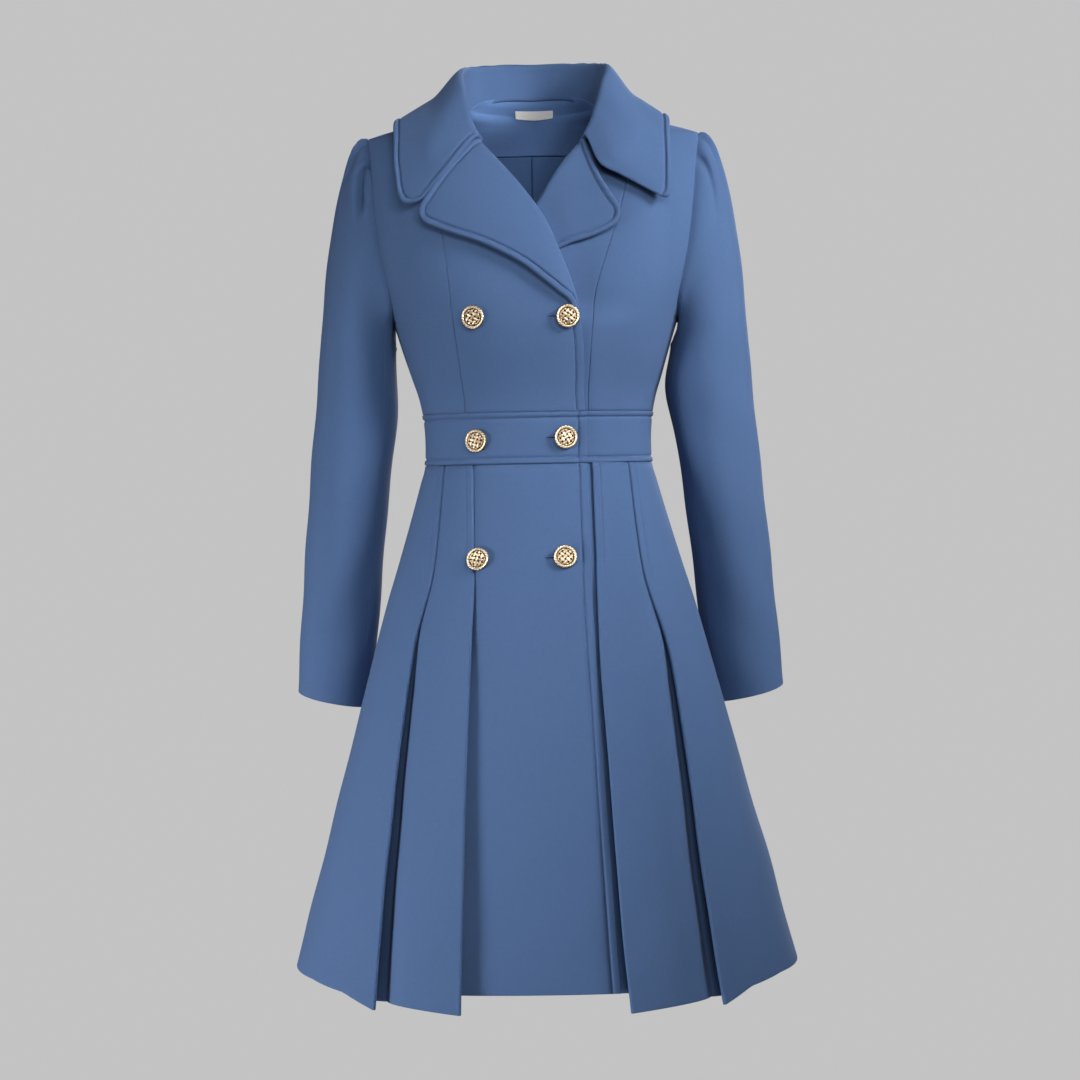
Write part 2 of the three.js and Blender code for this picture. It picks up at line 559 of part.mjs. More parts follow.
// The sleeve of the wearer's left side. The share runs from 0 at the armhole over 1 where the head ends to 2 at
// the cuff.
function bareSleeve(turn, share) {
  const start = armhole(turn);
  const top = (1 + Math.cos(turn)) / 2;
  if (share > 1) {
    const cuff = CUFF.z + CUFF.inward * Math.cos(turn) - CUFF.forward * Math.sin(turn);
    return sleeveRing(turn, lerp(SLEEVE_START, cuff, share - 1));
  }
  const end = sleeveRing(turn, SLEEVE_START);
  const outwards = new THREE.Vector3(lerp(0.35, 1, top), -0.4 * Math.sin(turn), lerp(-0.9, 0.3, top));
  const p0 = start.clone().add(new THREE.Vector3(0.8, 0, 0.4 * top));
  const p1 = p0.clone().addScaledVector(outwards.normalize(), lerp(7, 26, top));
  const p2 = end.clone().add(new THREE.Vector3(-0.06, 0.02, 1).multiplyScalar(lerp(8, 132, top)));
  const t = share;
  const s = 1 - t;
  return new THREE.Vector3()
    .addScaledVector(p0, s * s * s).addScaledVector(p1, 3 * s * s * t)
    .addScaledVector(p2, 3 * s * t * t).addScaledVector(end, t * t * t);
}

function sleevePoint(turn, share, depth) {
  const normal = normalOf(bareSleeve, turn, Math.max(0.02, share), 2e-3, 5e-3);
  const p = bareSleeve(turn, share);
  const fromSeam = p.distanceTo(armhole(turn));
  return p.addScaledVector(normal, -depth - tuckDip(turn, fromSeam));
}

const SLEEVE_SHARES = [0, 0.1, 0.22, 0.36, 0.54, 0.76, 1, 1.2, 1.45, 1.72, 2];

function sleevePiece(name, side, turns) {
  const grid = (depth) =>
    SLEEVE_SHARES.map((share) =>
      turns.map((turn) => {
        const p = sleevePoint(turn, share, depth);
        p.x = side * p.x - SWAY * clamp01(share - 0.3);
        return p;
      }),
    );
  return clothPiece(name, shell(grid(0), grid(CLOTH)));
}

function sleeves() {
  const radians = (list) => list.map(THREE.MathUtils.degToRad);
  const gap = 0.4;
  const topTurns = [
    -125 + gap, -105, -85, -66, -49, -40, -31, -24, -15, -6, 6, 15, 24, 31, 40, 49, 66, 85, 105, 125 - gap,
  ];
  const underTurns = [125 + gap, 143, 161, 180, 199, 217, 235 - gap];
  return [-1, 1].flatMap((side) => {
    const name = side < 0 ? "right" : "left";
    return [
      sleevePiece(`sleeve_top_${name}`, side, radians(topTurns)),
      sleevePiece(`sleeve_under_${name}`, side, radians(underTurns)),
    ];
  });
}

// Collar and lapels

const spline = (points) => new THREE.CatmullRomCurve3(points, false, "centripetal");

// The section of the collar at one station: up the stand, over the fold, and down the fall.
function collarSection(row) {
  const point = (key) => new THREE.Vector3(...row[key]);
  const [neck, roll, fall, edge] = ["neck", "roll", "fall", "edge"].map(point);
  const stand = neck.clone().lerp(roll, 0.72);
  const shoulder = roll.clone().lerp(fall, 0.2).add(new THREE.Vector3(0, 0, 2.5));
  return spline([neck, stand, roll, shoulder, fall, edge]);
}

const COLLAR_ACROSS = [0, 0.16, 0.3, 0.37, 0.43, 0.5, 0.62, 0.8, 1];
const COLLAR_STATIONS = 26;

function collar() {
  const sections = COLLAR.map(collarSection);
  const lines = COLLAR_ACROSS.map((share) => spline(sections.map((section) => section.getPoint(share))));
  const stations = steps(0, 1, COLLAR_STATIONS);
  const grid = stations.map((at) => lines.map((line) => line.getPoint(at)));
  return clothPiece("collar", sheetWall(grid, DOUBLED));
}

// A point over the front at x and z, moved inwards by a depth.
const overFront = (x, z, depth) => onForm(frontAngle(x, z), z, depth);

// A lapel: its facing starts inside the front, goes round the fold, and lies on the front out to the edge. A
// point's lift is how far the cloth's middle lies in front of the front's face.
function lapel(name, rows, side, frontDepth) {
  const halfWall = DOUBLED / 2;
  const onTop = halfWall + 0.7;
  const inside = -(CLOTH + halfWall + 1);
  const between = steps(0, rows.length - 1, 12);
  const value = (at, pick) => {
    const line = spline(rows.map((row, i) => new THREE.Vector3(...pick(row), i)));
    return line.getPoint(at / (rows.length - 1));
  };
  const grid = between.map((at) => {
    const last = rows.length - 1;
    const roll = value(at, (row) => row.roll);
    const edge = value(at, (row) => row.edge);
    const shape = value(at, (row) => [row.middle, row.rim]);
    const bow = value(at, (row) => [row.bow, 0]).x;
    const rollAt = (near) => value(THREE.MathUtils.clamp(near, 0, last), (row) => row.roll);
    const tangent = rollAt(at + 0.05).sub(rollAt(at - 0.05));
    const square = new THREE.Vector3(-tangent.y, tangent.x, 0).normalize().multiplyScalar(side);
    const start = roll.clone().addScaledVector(square, TURN);
    const along = edge.clone().sub(start).setZ(0);
    const width = along.length();
    along.normalize();
    const point = (across, forward, raise, lift) => {
      const x = roll.x + square.x * across + along.x * forward - side * along.y * raise;
      const z = roll.y + square.y * across + along.y * forward + Math.abs(along.x) * raise;
      return overFront(x, z, frontDepth(x, z) - lift);
    };
    const round = (inside + onTop) / 2;
    const fold = [
      [Math.min(HOOK, width * 0.4) + TURN, inside], [TURN, inside], [0.7, inside + 1.1], [0, round],
      [0.7, onTop - 1.1], [TURN, onTop],
    ].map(([across, lift]) => point(across, 0, 0, lift));
    const fall = [0.2, 0.4, 0.6, 0.8, 1].map((t) => {
      const bulge = Math.sin(Math.PI * Math.min(1, t * 0.62 + 0.02)) * shape.x;
      const lift = onTop + shape.y * t * t + bulge * (1 - t * t);
      return point(TURN, width * t, bow * Math.sin(Math.PI * Math.pow(t, 0.7)), lift);
    });
    return [...fold, ...fall];
  });
  return clothPiece(name, sheetWall(grid, DOUBLED));
}

// What shows inside the neck

const FACING_LEVELS = [-38, -30, -22, -16, -12.2, -8, -4, -1.5, 2, 6, 10, 13];
const FACING_EDGE = [
  { z: -38, x: 88 }, { z: -18, x: 84 }, { z: -9, x: 79 }, { z: 0, x: 69 }, { z: 6, x: 62 }, { z: 11, x: 53 },
  { z: 14, x: 42 }, { z: 16, x: 29 },
];

function backFacing() {
  const reach = column(FACING_EDGE, "z", "x");
  const grid = (depth) =>
    FACING_LEVELS.map((z) =>
      steps(-reach(z), reach(z), 12).map((x) => onForm(backAngle(x, z), z, CLOTH + 1.6 + depth)),
    );
  return clothPiece("back_facing", shell(grid(0), grid(CLOTH / 2)));
}

// The lining of the back below the facing, with the ease pleat at its middle: from the right side it comes over
// the middle, goes back under itself, and runs on to the left side.
function backLining() {
  const outside = CLOTH + 1 + LINING / 2;
  const ply = LINING + 0.5;
  const keys = [
    { x: -1, plies: 1, steps: 0 }, { x: -0.2, plies: 1.4, steps: 4 }, { x: 0.02, plies: 2, steps: 2 },
    { x: 0.03, plies: 1.5, steps: 1 }, { x: 0.02, plies: 1, steps: 1 }, { x: -0.14, plies: 1, steps: 1 },
    { x: -0.15, plies: 0.5, steps: 1 }, { x: -0.14, plies: 0, steps: 1 }, { x: 0.2, plies: 0, steps: 2 },
    { x: 1, plies: 0, steps: 4 },
  ];
  const levels = [-322, -290, -250, -210, -170, -130, -95, -65, -39];
  const grid = levels.map((z) => {
    const reach = Math.min(88, lerp(64, 88, (z + 322) / 150));
    const row = [];
    keys.forEach((key, k) => {
      const before = keys[Math.max(0, k - 1)];
      for (let i = k === 0 ? 0 : 1; i <= key.steps; i += 1) {
        const t = key.steps ? i / key.steps : 0;
        const x = -reach * lerp(before.x, key.x, t);
        row.push(onForm(backAngle(x, z), z, outside + ply * lerp(before.plies, key.plies, t)));
      }
    });
    return row;
  });
  return piece("back_lining", sheetWall(grid, LINING), COLOURS.lining);
}

function neckLabel() {
  const depth = CLOTH * 1.5 + 2.2;
  const grid = (extra) =>
    [1.5, 11.5].map((z) => steps(-22.5, 22.5, 6).map((x) => onForm(backAngle(x, z), z, depth + extra)));
  return piece("neck_label", shell(grid(0), grid(0.8)), COLOURS.label);
}

// Buttons

// How deep the face of the lapping skirt's centre panel lies at x, between its edge and its first pleat.
function panelDepth(x, z) {
  const edge = column(OPENING_RIGHT, "z", "x")(z);
  const way = (edge - x) / (edge + column(FOLDS_RIGHT, "z", "first")(z));
  return 2 * LAYER * Math.pow(way, FALL_BACK);
}

// A domed button with a raised rim, on a shank. Its axis is +Y here and is turned on to the cloth.
function buttonGeometry(shank) {
  const r = BUTTON_RADIUS;
  const profile = [
    [0, 0], [3.5, 0], [3.5, shank], [r - 1, shank], [r, shank + 1.4], [r - 0.8, shank + 3.4],
    [r - 3, shank + 3], [r * 0.45, shank + 4], [0, shank + 4.4],
  ];
  return new THREE.LatheGeometry(profile.map(([x, y]) => new THREE.Vector2(x, y)), 14);
}

function button({ name, x, z }) {
  const depth = name.startsWith("button_lower") ? panelDepth(x, z) : 0;
  const mesh = piece(name, buttonGeometry(1.6 + depth), COLOURS.gilt, 1);
  const normal = normalOf(bareForm, frontAngle(x, z), z, 2e-3, 0.5);
  mesh.position.copy(overFront(x, z, depth)).addScaledVector(normal, SEAM);
  mesh.quaternion.setFromUnitVectors(new THREE.Vector3(0, 1, 0), normal);
  return mesh;
}

const coat = new THREE.Group();
coat.add(
  ...bodiceHalf(-1, PRINCESS_RIGHT, OPENING_RIGHT, () => 0),
  ...bodiceHalf(1, PRINCESS_LEFT, OPENING_LEFT, underlap),
  ...waistband(),
  ...skirt(),
  ...sleeves(),
  collar(),
  lapel("lapel_right", LAPEL_RIGHT, -1, () => 0),
  lapel("lapel_left", LAPEL_LEFT, 1, underlap),
  backFacing(),
  backLining(),
  neckLabel(),
  ...BUTTONS.map(button),
);

export default coat;
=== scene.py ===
"""The look of a flared, double-breasted coat: every wall of cloth at fine resolution, with rounded edges,
grooves of topstitching and their stitches, buttonholes, gilt buttons, materials, light and camera.

Lengths are millimetres until a mesh is made. +X is the wearer's left, -Y the front and +Z up."""
import math
import bpy
import numpy as np
from mathutils import Matrix, Vector


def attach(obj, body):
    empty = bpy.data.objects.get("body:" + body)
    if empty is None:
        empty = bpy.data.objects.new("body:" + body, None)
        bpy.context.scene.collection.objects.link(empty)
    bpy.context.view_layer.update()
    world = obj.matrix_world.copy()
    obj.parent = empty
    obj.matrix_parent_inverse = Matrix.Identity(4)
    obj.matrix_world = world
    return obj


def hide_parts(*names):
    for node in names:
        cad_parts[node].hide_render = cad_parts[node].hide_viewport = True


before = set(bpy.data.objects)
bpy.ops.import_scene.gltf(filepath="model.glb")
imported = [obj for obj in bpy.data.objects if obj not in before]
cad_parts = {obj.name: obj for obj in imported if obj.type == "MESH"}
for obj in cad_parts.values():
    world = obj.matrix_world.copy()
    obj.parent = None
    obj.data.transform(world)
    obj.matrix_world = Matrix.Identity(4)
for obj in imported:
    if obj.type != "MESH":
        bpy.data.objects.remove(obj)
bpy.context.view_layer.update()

# Sizes
MM = 0.001
CLOTH, DOUBLED, LINING, LABEL = 2.2, 3.6, 1.0, 0.8
SEAM = 0.3
LAYER = CLOTH + 0.6
LAP_GAP, LAPEL_ROOM = 0.9, 9.6
WAIST_TOP, WAIST_LOW, WAIST_TILT = -334.0, -389.0, 2.5
STITCHED_LOW, HEM = -500.0, -955.0
ARMHOLE_TOP, ARMHOLE_LOW, PRINCESS_TOP = -29.0, -236.0, -11.5
GORGE, SLEEVE_START = -40.0, -262.0
ROLL_ROOM, LAPEL_LOW_FROM, LAPEL_LOW_TO = 4.8, -222.0, -232.0
EDGE_STITCH, BAND_STITCH, COLLAR_STITCH, FOLD_STITCH = 9.0, 6.5, 7.0, 6.0
# How full the rim beside a row of topstitching is, and how deep its groove.
RELIEF = {EDGE_STITCH: (0.6, 1.3), BAND_STITCH: (0.9, 1.3), COLLAR_STITCH: (1.1, 1.5)}
GROOVE_WIDTH = 1.2
QUARTER = math.pi / 2


def table(columns, rows):
    """A table with named columns, sorted by its first one."""
    data = np.array(sorted(rows), float)
    return {name: data[:, i] for i, name in enumerate(columns.split())}


def cubic(a, b, slope_a, slope_b, span, t):
    """The cubic that runs from a to b over a span, with a slope at each end."""
    return (a * (2 * t**3 - 3 * t**2 + 1) + b * (3 * t**2 - 2 * t**3)
            + span * (slope_a * (t**3 - 2 * t**2 + t) + slope_b * (t**3 - t**2)))


def curve(rows, name):
    """A smooth curve over the level through one column of a table, with no overshoot between rows."""
    x, y = rows["z"], rows[name]
    slope = np.diff(y) / np.diff(x)
    tangent = np.concatenate([[slope[0]], np.zeros(len(x) - 2), [slope[-1]]])
    for i in range(1, len(x) - 1):
        if slope[i - 1] * slope[i] > 0:
            tangent[i] = 2 * slope[i - 1] * slope[i] / (slope[i - 1] + slope[i])

    def at(value):
        value = np.clip(value, x[0], x[-1])
        i = np.clip(np.searchsorted(x, value, side="right") - 1, 0, len(x) - 2)
        span = x[i + 1] - x[i]
        t = (value - x[i]) / span
        return cubic(y[i], y[i + 1], tangent[i], tangent[i + 1], span, t)

    return at


def smooth(low, high, value):
    t = np.clip((value - low) / (high - low), 0, 1)
    return t * t * (3 - 2 * t)


def mix(a, b, t):
    return a + (b - a) * t


# The filled-out form
FORM = table("z half front back power middle", [
    (16, 70, 8, 66, 2.0, 0), (6, 76, 10, 72, 2.0, 0), (0, 79, 14, 75, 1.8, 0), (-6, 101, 24, 78, 1.5, 0),
    (-14, 130, 36, 81, 1.38, 0), (-22, 160, 46, 83.5, 1.38, 0), (-29, 182, 54, 85.5, 1.45, 0),
    (-36, 186.5, 61, 87, 1.6, 0), (-50, 187, 70, 90, 1.9, 0), (-75, 186.5, 83, 95, 2.2, 0),
    (-110, 185, 98, 100, 2.45, 0), (-150, 180, 112, 104, 2.5, 0), (-190, 171, 121, 104, 2.45, 0),
    (-215, 162.5, 123.5, 102.5, 2.4, 0), (-236, 155, 123, 100, 2.35, 0), (-262, 147, 118, 97, 2.3, 0),
    (-294, 137, 108, 92, 2.25, 0), (-318, 129.5, 101, 88.5, 2.2, 0), (-341, 125.4, 97.5, 87, 2.2, 0),
    (-365, 124, 97, 87, 2.2, 0), (-389, 124.5, 97.5, 87.5, 2.2, 0), (-410, 130, 101, 91, 2.2, -1),
    (-451, 141.5, 109, 100, 2.2, -3), (-500, 156, 119, 110, 2.2, -6), (-539, 168, 127, 118, 2.2, -8),
    (-671, 203.5, 150, 142, 2.2, -13), (-759, 227, 164, 157, 2.2, -15), (-847, 251, 177, 171, 2.2, -17),
    (-935, 273.5, 189, 184, 2.2, -18), (-970, 282, 194, 189, 2.2, -18)])
ARMHOLE_FRONT = table("z x", [
    (-29, 182), (-45, 180), (-70, 177), (-92, 175), (-150, 167.5), (-190, 160), (-216, 155),
    (-228, 154.3), (-236, 155)])
ARMHOLE_BACK = table("z x", [
    (-29, 182), (-45, 179), (-70, 175), (-92, 173), (-150, 167), (-190, 160), (-216, 155.5),
    (-228, 154.6), (-236, 155)])
NECK_FRONT = table("z x", [(0, 79), (-5, 77.5), (-12, 74), (-20, 70), (-30, 64), (-40, 58)])
NECK_BACK = table("z x", [(0, 79), (6, 72), (11, 62), (14, 50), (16, 36)])
PRINCESS_HIGH = [(-40, 112), (-22, 116), (-11.5, 120)]
PRINCESS_RIGHT = table("z x", [
    (-340, 75), (-300, 79), (-216, 88), (-152, 95), (-90, 104), *PRINCESS_HIGH])
PRINCESS_LEFT = table("z x", [
    (-340, 57), (-300, 59), (-214, 68), (-143, 88), (-90, 102), *PRINCESS_HIGH])
PRINCESS_BACK = table("z x", [
    (-340, 62), (-300, 66), (-214, 80), (-150, 92), (-90, 104), *PRINCESS_HIGH])
OPENING_RIGHT = table("z x", [
    (-40, -57), (-65, -38), (-114, 3), (-163, 26), (-213, 44), (-240, 50), (-273, 53), (-340, 53.5),
    (-500, 57), (-700, 69), (-860, 79), (-970, 86)])
OPENING_LEFT = table("z x", [
    (-40, -55), (-65, -35), (-114, -3), (-163, 25), (-213, 43), (-240, 46), (-340, 47), (-970, 47)])

half, front, back, power, middle = (curve(FORM, n) for n in ("half", "front", "back", "power", "middle"))


def form(angle, z):
    """A point on the form. The angle is 0 at the front middle and a quarter turn at the left side."""
    angle, z = np.broadcast_arrays(np.asarray(angle, float), np.asarray(z, float))
    s, n = np.sin(angle), power(z)
    reach = np.clip(1 - np.abs(s) ** n, 0, None) ** (1 / n)
    y = np.where(np.cos(angle) >= 0, -front(z) * reach, back(z) * reach)
    return np.stack([half(z) * s, middle(z) + y, z], -1)


def unit(v):
    return v / np.maximum(np.linalg.norm(v, axis=-1, keepdims=True), 1e-9)


def form_normal(angle, z):
    du = 5 / half(z)
    along = form(angle + du, z) - form(angle - du, z)
    return unit(np.cross(along, form(angle, z + 1.5) - form(angle, z - 1.5)))


def on_form(angle, z, depth):
    return form(angle, z) - form_normal(angle, z) * np.asarray(depth)[..., None]


def front_angle(x, z):
    return np.arcsin(np.clip(x / half(z), -1, 1))


def back_angle(x, z):
    return np.pi - front_angle(x, z)


def line_angle(rows, z, name="x", way=1):
    """The angle of a table's line at one level, or of its mirror image where way is -1."""
    return float(front_angle(way * curve(rows, name)(z), z))


def flush(x, z):
    """The depth of cloth that lies on the form itself."""
    return 0 * x


def underlap(x, z):
    """How far the wearer's left front lies inside the form, under the right front and its lapel."""
    lapel_room = LAPEL_ROOM * smooth(-250, -215, z) * (1 - smooth(-112, -56, z))
    return (CLOTH + LAP_GAP + lapel_room) * (1 - smooth(45, 125, x))


def unevenness(angle, z, size):
    """The slight waviness of cloth that nothing presses flat."""
    return size * (0.6 * np.sin(5 * angle + z / 61 + 0.7) * np.sin(z / 43 + 1.9)
                   + 0.4 * np.sin(11 * angle - z / 37 + 2.1) * np.sin(z / 29 + 0.4))


# Meshes
def lengths(grid, axis):
    """The distance run along one way of a grid, from its start."""
    step = np.linalg.norm(np.diff(grid, axis=axis), axis=-1)
    return np.concatenate([np.zeros_like(np.take(step, [0], axis)), np.cumsum(step, axis=axis)], axis=axis)


ROUNDING = np.array([0, 0.08, 0.3, 0.62, 1.0])
BESIDE_STITCH = np.array([-2.4, -1.5, -0.8, 0, 0.8, 1.5, 2.4])


def spots(count, radius, near=(), far=()):
    """Where lines of a grid run across it: close together at rounded edges and rows of stitching."""
    def side(rows):
        return np.array(sorted([*(ROUNDING * radius), *(s + d for s in rows for d in BESIDE_STITCH)]))

    a, b = side(near), side(far)

    def at(length):
        k = min(1, 0.9 * length / (a[-1] + b[-1]))
        inner = np.linspace(a[-1] * k, length - b[-1] * k, count + 2)[1:-1]
        return np.concatenate([a * k, inner, (length - b * k)[::-1]])

    return at


def place_at(at, run, line):
    """The places on a line at given distances, where run is the distance of each of its points."""
    return np.stack([np.interp(at, run, line[:, k]) for k in range(3)], -1)


def resample(grid, layout):
    """The grid again, with each of its rows laid out afresh by real distance."""
    return np.array([place_at(layout(run[-1]), run, row) for row, run in zip(grid, lengths(grid, 1))])


def swapped(grid):
    return np.swapaxes(grid, 0, 1)


def face_vectors(grid):
    """For each face of a grid, a vector square to it and twice as long as its area."""
    return np.cross(grid[1:, 1:] - grid[:-1, :-1], grid[1:, :-1] - grid[:-1, 1:])


def normals(grid):
    """The normals of a grid, each the mean of the faces round it."""
    face = face_vectors(grid)
    total = np.zeros_like(grid)
    for i, j in ((0, 0), (0, 1), (1, 0), (1, 1)):
        total[i:total.shape[0] - 1 + i, j:total.shape[1] - 1 + j] += face
    return unit(total)


def new_mesh(name, points, faces):
    mesh = bpy.data.meshes.new(name)
    faces = np.asarray(faces)
    mesh.vertices.add(len(points))
    mesh.vertices.foreach_set("co", (np.asarray(points) * MM).astype(np.float32).ravel())
    mesh.loops.add(faces.size)
    mesh.loops.foreach_set("vertex_index", faces.astype(np.int32).ravel())
    mesh.polygons.add(len(faces))
    mesh.polygons.foreach_set("loop_start", np.arange(0, faces.size, faces.shape[1], dtype=np.int32))
    mesh.polygons.foreach_set("use_smooth", np.ones(len(faces), bool))
    mesh.update(calc_edges=True)
    mesh.validate()
    return mesh


def new_object(name, points, faces, material):
    mesh = new_mesh(name, points, faces)
    mesh.materials.append(material)
    obj = bpy.data.objects.new(name, mesh)
    bpy.context.scene.collection.objects.link(obj)
    return obj


def distances(grid):
    """How far each point of a grid is from its four borders: first and last column, first and last row."""
    across, along = lengths(grid, 1), lengths(grid, 0)
    return across, across[:, -1:] - across, along, along[-1:] - along


def quads(index):
    """The faces between the points of a grid, given by their numbers."""
    return np.stack([index[:-1, :-1], index[:-1, 1:], index[1:, 1:], index[1:, :-1]], -1).reshape(-1, 4)


def tube_faces(base, rings, sides):
    """The faces round a tube, whose rings follow one another from the point with the number base."""
    faces = []
    for near in range(base, base + (rings - 1) * sides, sides):
        far = near + sides
        for j in range(sides):
            k = (j + 1) % sides
            faces.append((near + j, near + k, far + k, far + j))
    return faces


def wall(grid, thickness, lift, outer, flip, round_off):
    """A closed wall with rounded edges. The grid is its outer face or its middle, and lift raises it."""
    n = normals(grid) * (-1 if flip else 1)
    mid = grid - n * thickness / 2 if outer else grid
    near = np.minimum.reduce(distances(grid))
    ease = np.sqrt(1 - (1 - np.clip(near / (thickness / 2 * round_off), 0, 1)) ** 2)[..., None]
    raised = 0 if lift is None else lift[..., None] * ease
    top, under = mid + n * (thickness / 2 * ease + raised), mid - n * thickness / 2 * ease
    rows, cols = grid.shape[:2]
    index = np.arange(rows * cols).reshape(rows, cols)
    below = np.full((rows, cols), -1)
    below[1:-1, 1:-1] = rows * cols + np.arange((rows - 2) * (cols - 2)).reshape(rows - 2, cols - 2)
    below = np.where(below < 0, index, below)
    upper, lower = quads(index), quads(below)[:, ::-1]
    faces = np.concatenate([upper, lower])
    points = np.concatenate([top.reshape(-1, 3), under[1:-1, 1:-1].reshape(-1, 3)])
    return points, faces[:, ::-1] if flip else faces, top, n


def groove(distance, at, width, depth):
    return -depth * np.exp(-(((distance - at) / width) ** 2))


def stitched(distance, at):
    """The relief beside a row of topstitching: a groove, and the fuller rim between it and the edge."""
    full, depth = RELIEF[at]
    return groove(distance, at, GROOVE_WIDTH, depth) + full * (1 - smooth(at - 2.5, at - 0.5, distance))


pieces = {}


def cloth(node, grid, thickness, material, lift=None, outer=True, flip=False,
          round_off=1.0):
    """Puts a wall of cloth in the place of its node, and hides the part it replaces."""
    points, faces, top, n = wall(grid, thickness, lift, outer, flip, round_off)
    obj = new_object(node + "_cloth", points, faces, material)
    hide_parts(node)
    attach(obj, "root")
    across, _, along, _ = distances(grid)
    area = np.linalg.norm(face_vectors(grid), axis=-1).sum() / 2 * MM * MM
    width, length = across[:, -1].max() * MM, along[-1].max() * MM
    area = float(np.clip(area, 0.31 * width * length, width * length))
    pieces[node] = {"top": top, "n": n, "grid": grid}


def sewing(name, points, faces, material):
    """Something sewn that rides on the coat beside its pieces."""
    obj = new_object(name, points, faces, material)
    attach(obj, "root")


STITCH = {"pitch": 3.7, "length": 3.0, "radius": 0.3, "sunk": 0.05, "rings": 6}


def stitches(node, lines):
    """Rows of stitches along lines, each given by its points and normals, as one piece."""
    sides = 6
    ring = [(math.cos(a), math.sin(a)) for a in np.linspace(0, 2 * math.pi, sides, endpoint=False)]
    share = np.linspace(0, 1, STITCH["rings"])
    points, faces = [], []
    for line, n in lines:
        run = lengths(line[None], 1)[0]
        for start in np.arange(0.4, run[-1] - STITCH["length"], STITCH["pitch"]):
            s = start + share * STITCH["length"]
            p, up = place_at(s, run, line), unit(place_at(s, run, n))
            along = unit(np.gradient(p, axis=0))
            across = unit(np.cross(along, up))
            arch = np.sin(np.pi * share)[:, None]
            p = p + up * (STITCH["radius"] * (arch * 1.5 - 0.9) + STITCH["sunk"])
            r = STITCH["radius"] * (0.35 + 0.65 * arch)
            base = len(points)
            rings = np.stack([p + r * (a * across + b * up) for a, b in ring], 1)
            points.extend(rings.reshape(-1, 3))
            faces += tube_faces(base, len(share), sides)
            last = base + (len(share) - 1) * sides
            faces += [(base + 3, base + 2, base + 1, base), (base + 5, base + 4, base + 3, base),
                      (last, last + 1, last + 2, last + 3), (last, last + 3, last + 4, last + 5)]
    sewing(node + "_stitching", points, faces, THREAD)


def line_at(node, which, distance, keep=None):
    """The line on a piece's outer face at a distance from one of its borders."""
    top, n = pieces[node]["top"], pieces[node]["n"]
    far = distances(pieces[node]["grid"])[which]
    if which >= 2:
        top, n, far = swapped(top), swapped(n), swapped(far)
    order = 1 if far[0, -1] > far[0, 0] else -1
    line, up = (np.array([place_at(distance, f[::order], v[::order]) for f, v in zip(far, values)])
                for values in (top, n))
    if keep is not None:
        chosen = keep(line)
        line, up = line[chosen], up[chosen]
    return line, up


# Materials
def node_tree(owner):
    """The nodes of a material or world, and a function that joins an output of one to an input of another."""
    owner.use_nodes = True
    tree = owner.node_tree

    def link(source, output, target, socket):
        tree.links.new(source.outputs[output], target.inputs[socket])

    return tree.nodes, link


def new_material(name):
    material = bpy.data.materials.new(name)
    nodes, link = node_tree(material)
    return material, nodes, link, nodes["Principled BSDF"]


# The sockets of a Mix node of colours, which its names do not tell apart.
MIX_A, MIX_B, MIX_RESULT = 6, 7, 2


def set_inputs(node, **values):
    """Sets inputs of a shader node. An underscore in a name stands for a space."""
    for name, value in values.items():
        node.inputs[name.replace("_", " ")].default_value = value
    return node


def mottled(nodes, link, place, scale, detail, dark, light, low=0.0, high=1.0):
    """A noise, and the colours that it runs through."""
    noise = set_inputs(nodes.new("ShaderNodeTexNoise"), Scale=scale, Detail=detail)
    tone = nodes.new("ShaderNodeValToRGB")
    for element, colour, position in zip(tone.color_ramp.elements, (dark, light), (low, high)):
        element.color, element.position = (*colour, 1), position
    link(place, "Object", noise, "Vector")
    link(noise, "Fac", tone, "Fac")
    return noise, tone


def bumped(nodes, link, source, output, shader, strength, distance):
    bump = set_inputs(nodes.new("ShaderNodeBump"), Strength=strength, Distance=distance)
    link(source, output, bump, "Height")
    link(bump, "Normal", shader, "Normal")


def coating_material(name, painted_brightness=1.0):
    """Milled wool-like coating: a mottled blue, a fine diagonal rib under a short nap, and a soft sheen. Its
    blue can be scaled lighter as painted light.
    """
    material, nodes, link, shader = new_material(name)
    place = nodes.new("ShaderNodeTexCoord")
    # painted_brightness scales the blue up: painted light, which makes a lit copy of the same coating.
    dark, light = ([c * painted_brightness for c in blue] for blue in ((0.056, 0.107, 0.228), (0.060, 0.114, 0.242)))
    _, tone = mottled(nodes, link, place, 240, 5, dark, light, 0.25, 0.75)
    fibre, shade = mottled(nodes, link, place, 1400, 3, (0.6, 0.6, 0.62), (1.25, 1.25, 1.25))
    fleck = nodes.new("ShaderNodeMix")
    fleck.data_type, fleck.blend_type = "RGBA", "MULTIPLY"
    set_inputs(fleck, Factor=0.28)
    link(tone, "Color", fleck, MIX_A)
    link(shade, "Color", fleck, MIX_B)
    link(fleck, MIX_RESULT, shader, "Base Color")
    rib = set_inputs(nodes.new("ShaderNodeTexWave"), Scale=260, Distortion=3.5, Detail=2)
    rib.bands_direction = "DIAGONAL"
    link(place, "Object", rib, "Vector")
    height = nodes.new("ShaderNodeMath")
    height.operation = "MULTIPLY_ADD"
    height.inputs[1].default_value = 0.45
    link(rib, "Fac", height, 0)
    link(fibre, "Fac", height, 2)
    bumped(nodes, link, height, 0, shader, 0.35, 0.0004)
    set_inputs(shader, Roughness=0.88, Specular_IOR_Level=0.25, Sheen_Weight=0.06, Sheen_Roughness=0.5,
               Sheen_Tint=(0.7, 0.8, 1.0, 1))
    return material


